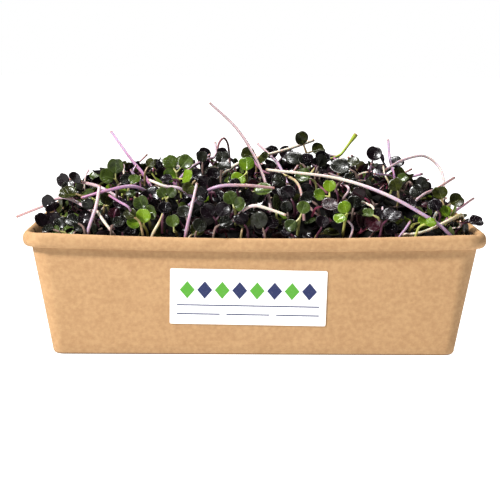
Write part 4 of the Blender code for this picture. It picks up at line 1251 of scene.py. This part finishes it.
def add_tube(net, route, radii, sides, kind=0):
    """A stem along a route, closed at both ends, with its map: share along, mm from its end, way round."""
    route = [Vector(point) for point in route]
    last = len(route) - 1
    across = (route[1] - route[0]).orthogonal().normalized()
    points, maps = [], []
    gone = 0.0
    for k, point in enumerate(route):
        gone += (point - route[max(k - 1, 0)]).length
        ahead = (route[min(k + 1, last)] - route[max(k - 1, 0)]).normalized()
        across = (across - ahead * across.dot(ahead)).normalized()
        up = ahead.cross(across)
        for side in range(sides):
            turn = 2 * math.pi * side / sides
            points.append(point + (across * math.cos(turn) + up * math.sin(turn)) * float(radii[k]))
            maps.append((k / last, gone / MM, abs(2 * side / sides - 1)))
    numbers = np.arange(len(points)).reshape(len(route), sides).tolist()
    faces = ring_faces(numbers)
    faces += [tuple(numbers[0][::-1]), tuple(numbers[-1])]
    net.add(points, faces, [kind] * len(faces), maps)


def add_leaf(net, leaf_net, leaf, shape, stalk_radius):
    """A blade, with its short stalk that runs on as a rib under the blade."""
    points, maps = leaf_net.points(leaf, shape)
    net.add(points, leaf_net.faces, leaf_net.kinds, maps)
    half_length = min(leaf.length, LONGEST_BLADE * leaf.width) / 2
    middle = leaf.tip - leaf.along * half_length
    route, radii = [leaf.base], [stalk_radius]
    for share, radius in RIB_TAPER:
        along = share * half_length
        under = blade_height(0.0, along, leaf.width, shape) - FINE_THICKNESS * RIB_SINK
        route.append(middle + leaf.along * along + leaf.face * under)
        radii.append(stalk_radius * radius)
    if (route[1] - route[0]).length < SHORTEST_STALK:
        route, radii = route[1:], radii[1:]
    add_tube(net, route, radii, RIB_SIDES, kind=2)


def build_stems(routes):
    for number, (stem, route) in enumerate(zip(STEMS, routes), start=1):
        radius, first, last, _ = stem
        net = Net("stem_map")
        fine = curve_through(route[::2] if len(route) > SHORT_ROUTE else route, STEM_STEP)
        swell = 1 + STEM_SWELL * np.sin(np.linspace(0, STEM_SWELL_TURN, len(fine)) + number)
        radii = radius * MM * swell * np.linspace(*STEM_FINENESS, len(fine))
        if first == "lime":
            radii = radii * (1 + PADDLE_SWELL * np.exp(-((np.arange(len(fine)) / PADDLE_POINTS) ** 2)))
        add_tube(net, fine, radii, STEM_SIDES)
        net.piece(f"sprout_stem_{number:02d}", [stem_material(first, last)], STEM_SLOTS[first],
                  [f"stem_{number:02d}"])


def build_pairs(routes, pairs):
    leaf_net = LeafNet(PAIR_RINGS, PAIR_SECTORS)
    planned = zip(LEAF_PAIRS, routes[len(STEMS):], pairs)
    for number, ((colour, *_), route, pair) in enumerate(planned, start=1):
        draw = random.Random(PAIR_SHAPE_SEED + number)
        net = Net("leaf_map")
        radii = np.linspace(*PAIR_STALK_RADII, len(route)) * MM
        add_tube(net, route, radii, STALK_SIDES, kind=2)
        for leaf in pair:
            add_leaf(net, leaf_net, leaf, random_shape(draw, LEAF_FOLD), PAIR_RIB)
        net.piece(f"sprout_leaves_{number:02d}", leaf_materials(colour), LEAF_SLOTS[colour],
                  [f"leaf_pair_{number:02d}"])


# Heap


class Crowd:
    """Flat discs of the leaves already placed, kept as arrays so that a new one is tested at once."""

    RIM_TURNS = np.linspace(0, 2 * math.pi, 13)

    def __init__(self, leaves):
        self.discs, self.rims = [], []
        for leaf in leaves:
            self.add(leaf)

    def disc(self, leaf):
        axes = np.array([leaf.side, leaf.along, leaf.face])
        return np.vstack([np.array(leaf.middle), axes, (leaf.width / 2, leaf.length / 2, 0)])

    def rim(self, leaf):
        middle, side, along, _, halves = self.disc(leaf)
        return (
            middle
            + np.outer(np.sin(self.RIM_TURNS) * halves[0], side)
            + np.outer(np.cos(self.RIM_TURNS) * halves[1], along)
        )

    def add(self, leaf):
        self.discs.append(self.disc(leaf))
        self.rims.append(self.rim(leaf))

    def blocks(self, leaf):
        """Whether the leaf would cut through one that is there."""
        disc, rim = self.disc(leaf), self.rim(leaf)
        discs = np.array(self.discs)
        near = np.linalg.norm(discs[:, 0] - disc[0], axis=1) < CROWD_REACH
        if not near.any():
            return False
        rims = np.array(self.rims)[near]
        return self.pierced(rim[None], discs[near]) or self.pierced(rims, disc[None])

    @staticmethod
    def pierced(rims, discs):
        offset = rims - discs[:, None, 0]
        shape = (len(offset), 3)
        across, along, height = (
            np.einsum("nrk,nk->nr", offset, np.broadcast_to(discs[:, axis], shape)) for axis in (1, 2, 3)
        )
        across = across / discs[:, 4, 0][:, None]
        along = along / discs[:, 4, 1][:, None]
        crosses = height[:, 1:] * height[:, :-1] < 0
        share = height[:, :-1] / np.where(crosses, height[:, :-1] - height[:, 1:], 1)
        at_across = across[:, :-1] + share * np.diff(across, axis=1)
        at_along = along[:, :-1] + share * np.diff(along, axis=1)
        return bool((crosses & (at_across**2 + at_along**2 < 1)).any())


def random_way(draw):
    return Vector([draw.gauss(0, 1) for _ in range(3)]).normalized()


def bed_top(x, y):
    """What the fine leaves are rooted in: the solid heap's core, a little lower in the middle."""
    rise = (heap_top(x, y) - HEAP_EDGE_HEIGHT) / HEAP_RISE
    return core_top(x, y) - BED_DROP * max(0, rise)


def random_root(draw):
    x = draw.uniform(-RIM_LENGTH, RIM_LENGTH) / 2
    y = draw.uniform(-RIM_WIDTH, RIM_WIDTH) / 2
    return Vector((x, y, bed_top(x, y)))


def keep_inside(point):
    """The point, drawn in towards the tray's middle until it is clear of the wall."""
    point = Vector(point)
    while inside_wall(point.x, point.y, min(point.z, BEAD_MIDDLE)) < STALK_CLEAR:
        point.x *= 0.99
        point.y *= 0.99
    return point


def plan_loose_stems(stem_points, leaves):
    """The listed loose stems, each moved along the camera's line of sight to where it is clear."""
    placed = []
    for radius, first, last, points in LOOSE_STEMS:
        route = curve_through(np.array(points) * MM, STEM_SPACING)
        sight = np.array((Vector(CAMERA_PLACE) - Vector(route[0])).normalized())
        for shift in LONE_SHIFTS:
            moved = route + sight * shift * MM
            gaps = np.linalg.norm(moved[:, None] - stem_points[None], axis=2)
            if gaps.min() > LOOSE_APART and not any(leaf.touches(moved, radius * MM) for leaf in leaves):
                placed.append((radius * MM, first, last, moved))
                break
    return placed


def plan_thin_stems(draw, stem_points, leaves):
    """Short thin stems that lie among the leaves, and the points of all stems with them."""
    taken, thin = stem_points, []
    while len(thin) < THIN_STEMS:
        root = random_root(draw)
        normal = heap_normal(root.x, root.y)
        way = (random_way(draw) + normal * draw.uniform(*THIN_RISE)).normalized()
        length = draw.uniform(*THIN_LENGTHS) * MM
        start = root + normal * draw.uniform(*THIN_LIFT) * MM
        sag = random_way(draw) * length * draw.uniform(*THIN_SAG)
        end = start + way * length
        end.z = min(end.z, heap_top(end.x, end.y) - THIN_UNDER_TOP)
        foot = root - normal * THIN_ROOT_DEPTH * MM
        route = curve_through([end, (start + end) / 2 + sag, start, foot], STEM_SPACING)
        if not all(clear_of_tray(point, THIN_WALL_CLEAR) for point in route):
            continue
        gaps = np.linalg.norm(route[:, None] - taken[None], axis=2)
        if gaps.min() < THIN_APART or any(leaf.touches(route, THIN_LEAF_CLEAR) for leaf in leaves):
            continue
        taken = np.vstack([taken, route])
        thin.append((route, draw.uniform(*THIN_RADII) * MM))
    return thin, taken


def heap_leaf_fits(leaf, stem_points, crowd):
    if not all(clear_of_tray(probe, HEAP_WALL_CLEAR) for probe in leaf.probes()):
        return False
    return not leaf.touches(stem_points, HEAP_STEM_CLEAR) and not crowd.blocks(leaf)


class Sight:
    """What the camera has to see: stems and listed leaves that no leaf of the heap may stand before."""

    def __init__(self, stem_points, leaves):
        turns = range(0, 360, 45)
        inner = [leaf.point(*spot) for leaf in leaves for spot in leaf.outline(0.5, turns)]
        self.spots, self.depth = self.seen(np.vstack([stem_points, np.array(inner)]))

    @staticmethod
    def seen(points):
        """Where points are in the picture, in metres at the tray's distance, and how far off they are."""
        offset = points - np.array(CAMERA_PLACE)
        return offset[:, (0, 2)] / offset[:, 1:2] * abs(CAMERA_PLACE[1]), offset[:, 1]

    def is_hidden_by(self, leaf):
        spots, depth = self.seen(leaf.probes())
        gaps = np.linalg.norm(spots[:, None] - self.spots[None], axis=2)
        return bool(((gaps < SIGHT_MARGIN) & (depth[:, None] < self.depth[None])).any())


def lone_leaf(row, draw, stem_points, crowd):
    """The leaf as listed, or moved along the camera's line of sight to where it is clear."""
    _, width, middle, facing, degrees = row
    facing = (Vector(facing) + random_way(draw) * LONE_TURN).normalized()
    turn = math.radians(degrees)
    way = Vector((math.sin(turn), 0, math.cos(turn)))
    along = (way - facing * way.dot(facing)).normalized()
    half = along * LONE_HALF * width * MM
    middle = Vector(middle) * MM
    sight = (Vector(CAMERA_PLACE) - middle).normalized()
    for shift in LONE_SHIFTS:
        place = middle + sight * shift * MM
        leaf = Leaf(place - half * LONE_BASE, place + half, width * MM, facing)
        if heap_leaf_fits(leaf, stem_points, crowd):
            return leaf
    return None


def plan_lone_leaves(stem_points, crowd):
    placed = []
    for number, row in enumerate(LONE_LEAVES):
        leaf = lone_leaf(row, random.Random(LONE_SEED + number), stem_points, crowd)
        if leaf:
            crowd.add(leaf)
            placed.append((row[0], leaf))
    return placed


def plan_heap(draw, stem_points, crowd, sight, leaves):
    """Pairs of true-sized leaves over the whole heap, and single leaves that lie under them."""
    roots, pairs, singles = np.zeros((0, 3)), [], []
    for _ in range(PAIR_DARTS):
        root = random_root(draw)
        if inside_wall(root.x, root.y, CORE_SHOULDER) < HEAP_EDGE_CLEAR:
            continue
        if len(roots) and np.linalg.norm(roots - root, axis=1).min() < PAIR_SPACING:
            continue
        grown = open_pair(root, draw, stem_points, crowd, sight)
        if grown:
            roots = np.vstack([roots, root])
            pairs.append(grown)
    grown = [leaf for _, pair in pairs for leaf in pair]
    taken = np.array([leaf.middle for leaf in grown + leaves])
    for _ in range(UNDER_DARTS):
        root = random_root(draw) + Vector((0, 0, draw.uniform(*UNDER_LIFT) * MM))
        if inside_wall(root.x, root.y, CORE_SHOULDER) < HEAP_EDGE_CLEAR:
            continue
        if np.linalg.norm(taken - root, axis=1).min() < UNDER_SPACING:
            continue
        leaf = lay_single(root, draw, stem_points, crowd, sight)
        if leaf:
            taken = np.vstack([taken, leaf.middle])
            singles.append(leaf)
    return pairs, singles


def open_pair(root, draw, stem_points, crowd, sight):
    """Two leaves that open from one stalk, or None where nothing fits."""
    normal = heap_normal(root.x, root.y)
    for attempt in range(PAIR_TRIES):
        axis = (normal + random_way(draw) * draw.uniform(*PAIR_LEAN)).normalized()
        junction = root + normal * draw.uniform(*PAIR_LIFT) * MM
        side = axis.cross(random_way(draw)).normalized()
        width = draw.uniform(*LEAF_WIDTHS) * (1 - PAIR_SHRINK * attempt)
        pair = []
        for way in (1, -1):
            opening = math.radians(draw.uniform(*PAIR_OPENING))
            along = axis * math.cos(opening) + side * way * math.sin(opening)
            reach = width * draw.uniform(*PAIR_REACH)
            facing = axis - side * way * PAIR_INWARDS + random_way(draw) * PAIR_TWIST
            base = junction + along * PAIR_NECK * MM
            pair.append(Leaf(base, junction + along * reach, width, facing))
        if any(leaf.tip.z > heap_top(leaf.tip.x, leaf.tip.y) - TIP_DROP for leaf in pair):
            continue
        if any(sight.is_hidden_by(leaf) for leaf in pair):
            continue
        if all(heap_leaf_fits(leaf, stem_points, crowd) for leaf in pair):
            for leaf in pair:
                crowd.add(leaf)
            return junction, pair
    return None


def lay_single(root, draw, stem_points, crowd, sight):
    """One leaf that lies along the heap, or None where nothing fits."""
    normal = heap_normal(root.x, root.y)
    for _ in range(UNDER_TRIES):
        facing = (normal + random_way(draw) * UNDER_TILT).normalized()
        along = facing.cross(random_way(draw)).normalized()
        width = draw.uniform(*LEAF_WIDTHS)
        half = along * width * UNDER_HALF
        leaf = Leaf(root - half, root + half, width, facing)
        if heap_leaf_fits(leaf, stem_points, crowd) and not sight.is_hidden_by(leaf):
            crowd.add(leaf)
            return leaf
    return None


def build_core():
    """The mass between the leaves, in near-black painted shade, uneven, a little under their roots."""
    net = Net()
    clear = -BOARD - CORE_WALL_CLEAR
    stations = outline_stations()[::2]
    points, rings = [], []

    def ring(offset, height, scale):
        start = len(points)
        for station in stations:
            x, y = (scale * part for part in around_tray(station, offset))
            z = height
            if scale < 1:
                lump = noise.noise(Vector((x, y, 0)) / LUMP_LENGTH)
                z = bed_top(x, y) - CORE_DROP + LUMP_HEIGHT * lump
            points.append((x, y, z))
        rings.append(list(range(start, len(points))))

    ring(clear + LEAN * CORE_BOTTOM, CORE_BOTTOM, 1)
    ring(clear + LEAN * CORE_SHOULDER, CORE_SHOULDER - CORE_STEP, 1)
    for scale in np.linspace(*CORE_SCALES, CORE_RINGS):
        ring(clear + LEAN * CORE_SHOULDER, CORE_SHOULDER, scale)
    faces = ring_faces(rings) + [tuple(rings[0][::-1]), tuple(rings[-1])]
    net.add(points, faces)
    net.piece("heap_core", [core_finish()], "leaf_dark", ["greens_heap"], sharp=80)


def heap_colour(draw):
    names, weights = zip(*HEAP_COLOURS)
    return draw.choices(names, weights)[0]


def build_heap(routes, leaves):
    draw = random.Random(HEAP_SEED)
    crowd = Crowd(leaves)
    lone = plan_lone_leaves(np.vstack(routes), crowd)
    leaves = leaves + [leaf for _, leaf in lone]
    loose = plan_loose_stems(np.vstack(routes), leaves)
    loose_points = [route for *_, route in loose]
    thin, stem_points = plan_thin_stems(draw, np.vstack(routes + loose_points), leaves)
    sight = Sight(np.vstack(routes[:len(STEMS)] + loose_points), leaves)
    pairs, singles = plan_heap(draw, stem_points, crowd, sight, leaves)
    build_lone_leaves(lone)
    build_loose_stems(loose)
    leaf_net = LeafNet(RING_SHARES, HEAP_SECTORS)
    nets = {name: Net("leaf_map") for name, _ in HEAP_COLOURS}
    for junction, pair in pairs:
        net = nets[heap_colour(draw)]
        radius = draw.uniform(*PAIR_STALKS) * MM
        depth = heap_normal(junction.x, junction.y) * PAIR_FOOT_DEPTH * MM
        foot = keep_inside(junction - depth + random_way(draw) * PAIR_FOOT_SPREAD * MM)
        route = curve_through([junction, (junction + foot) / 2, foot], PAIR_STALK_STEP)[:3]
        add_tube(net, route, [radius] * 3, PAIR_STALK_SIDES, kind=2)
        for leaf in pair:
            add_leaf(net, leaf_net, leaf, random_shape(draw), radius)
    for leaf in singles:
        add_leaf(nets[heap_colour(draw)], leaf_net, leaf, random_shape(draw), SINGLE_RIB)
    for name, net in nets.items():
        net.piece(f"heap_leaves_{name}", leaf_materials(name), LEAF_SLOTS[name])
    build_thin_stems(draw, thin)
    build_core()


def build_lone_leaves(lone):
    """The listed leaves, each with a stalk that goes down among the others."""
    leaf_net = LeafNet(PAIR_RINGS, PAIR_SECTORS)
    nets = {name: Net("leaf_map") for name, _ in HEAP_COLOURS}
    for number, (colour, leaf) in enumerate(lone):
        draw = random.Random(LONE_SHAPE_SEED + number)
        down = heap_normal(leaf.base.x, leaf.base.y) * -1
        bend, foot = (
            keep_inside(leaf.base - leaf.along * back * MM + down * deep * MM)
            for back, deep in (LONE_BEND, LONE_FOOT)
        )
        route = curve_through([leaf.base, bend, foot], LONE_STALK_STEP)
        radii = np.linspace(*LONE_STALK_RADII, len(route)) * MM
        add_tube(nets[colour], route, radii, STALK_SIDES, kind=2)
        add_leaf(nets[colour], leaf_net, leaf, random_shape(draw), LONE_RIB)
    for name, net in nets.items():
        if net.count:
            net.piece(f"lone_leaves_{name}", leaf_materials(name), LEAF_SLOTS[name])


def build_loose_stems(loose):
    for number, (radius, first, last, route) in enumerate(loose, start=1):
        net = Net("stem_map")
        fine = curve_through(route, STEM_STEP)
        add_tube(net, fine, [radius] * len(fine), STEM_SIDES)
        net.piece(f"loose_stem_{number}", [stem_material(first, last)], STEM_SLOTS[first])


def build_thin_stems(draw, thin):
    nets = {colours: Net("stem_map") for colours in THIN_COLOURS}
    for route, radius in thin:
        radii = np.linspace(radius, radius * THIN_TAPER, len(route))
        add_tube(nets[draw.choice(THIN_COLOURS)], route, radii, STALK_SIDES)
    for (first, last), net in nets.items():
        net.piece(f"heap_stems_{first}", [stem_material(first, last)], STEM_SLOTS[first])


# Studio


def build_floor():
    """A white floor that glows, so that it shows no shadow, as in the photo."""
    mesh = bpy.data.meshes.new("floor")
    corners = [(x * FLOOR_HALF, y * FLOOR_HALF, -FLOOR_DROP) for x, y in ((-1, -1), (1, -1), (1, 1), (-1, 1))]
    mesh.from_pydata(corners, [], [(0, 1, 2, 3)])
    floor = bpy.data.objects.new("floor", mesh)
    bpy.context.scene.collection.objects.link(floor)
    made = Finish("floor_white", 0.9, 0.1)
    made.shader.inputs["Base Color"].default_value = FLOOR_COLOUR
    made.shader.inputs["Emission Color"].default_value = (1, 1, 1, 1)
    made.shader.inputs["Emission Strength"].default_value = FLOOR_GLOW
    mesh.materials.append(made.material)


def light_world():
    """A white backdrop that the camera sees, and a softer even light from all round."""
    world = bpy.data.worlds.new("studio")
    bpy.context.scene.world = world
    world.use_nodes = True
    tree = world.node_tree
    background = tree.nodes["Background"]
    path = tree.nodes.new("ShaderNodeLightPath")
    strength = tree.nodes.new("ShaderNodeMapRange")
    strength.inputs["To Min"].default_value = AMBIENT
    strength.inputs["To Max"].default_value = BACKDROP
    tree.links.new(path.outputs["Is Camera Ray"], strength.inputs["Value"])
    tree.links.new(strength.outputs["Result"], background.inputs["Strength"])
    background.inputs["Color"].default_value = (1, 1, 1, 1)


def add_softbox(name, place, size, power):
    data = bpy.data.lights.new(name, "AREA")
    data.shape = "DISK"
    data.size = size
    data.energy = power
    lamp = bpy.data.objects.new(name, data)
    lamp.location = place
    lamp.rotation_euler = (Vector(LAMP_AIM) - Vector(place)).to_track_quat("-Z", "Y").to_euler()
    bpy.context.scene.collection.objects.link(lamp)


def aim_camera():
    data = bpy.data.cameras.new("camera")
    data.lens = CAMERA_LENS
    data.sensor_width = 36
    data.clip_start = 0.01
    camera = bpy.data.objects.new("camera", data)
    flat = math.cos(CAMERA_PITCH)
    ahead = Vector((math.sin(CAMERA_YAW) * flat, math.cos(CAMERA_YAW) * flat, -math.sin(CAMERA_PITCH)))
    right = Vector((math.cos(CAMERA_YAW), -math.sin(CAMERA_YAW), 0))
    up = right.cross(ahead)
    level, lean = math.cos(CAMERA_ROLL), math.sin(CAMERA_ROLL)
    turned = Matrix((right * level + up * lean, up * level - right * lean, -ahead)).transposed().to_4x4()
    turned.translation = CAMERA_PLACE
    camera.matrix_world = turned
    bpy.context.scene.collection.objects.link(camera)
    bpy.context.scene.camera = camera


def dress_base():
    """The bottom panel keeps its solid and takes the board's finish."""
    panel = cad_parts["tray_base"]
    panel.data.materials.clear()
    panel.data.materials.append(bpy.data.materials["kraft"])


def main():
    bpy.context.scene.view_settings.view_transform = "Standard"
    bpy.context.scene.view_settings.gamma = PICTURE_GAMMA
    aim_camera()
    build_wall()
    dress_base()
    build_label()
    routes, pairs, leaves = plan_sprouts()
    build_stems(routes)
    build_pairs(routes, pairs)
    build_heap(routes, leaves)
    build_floor()
    light_world()
    for lamp in LAMPS:
        add_softbox(*lamp)


main()
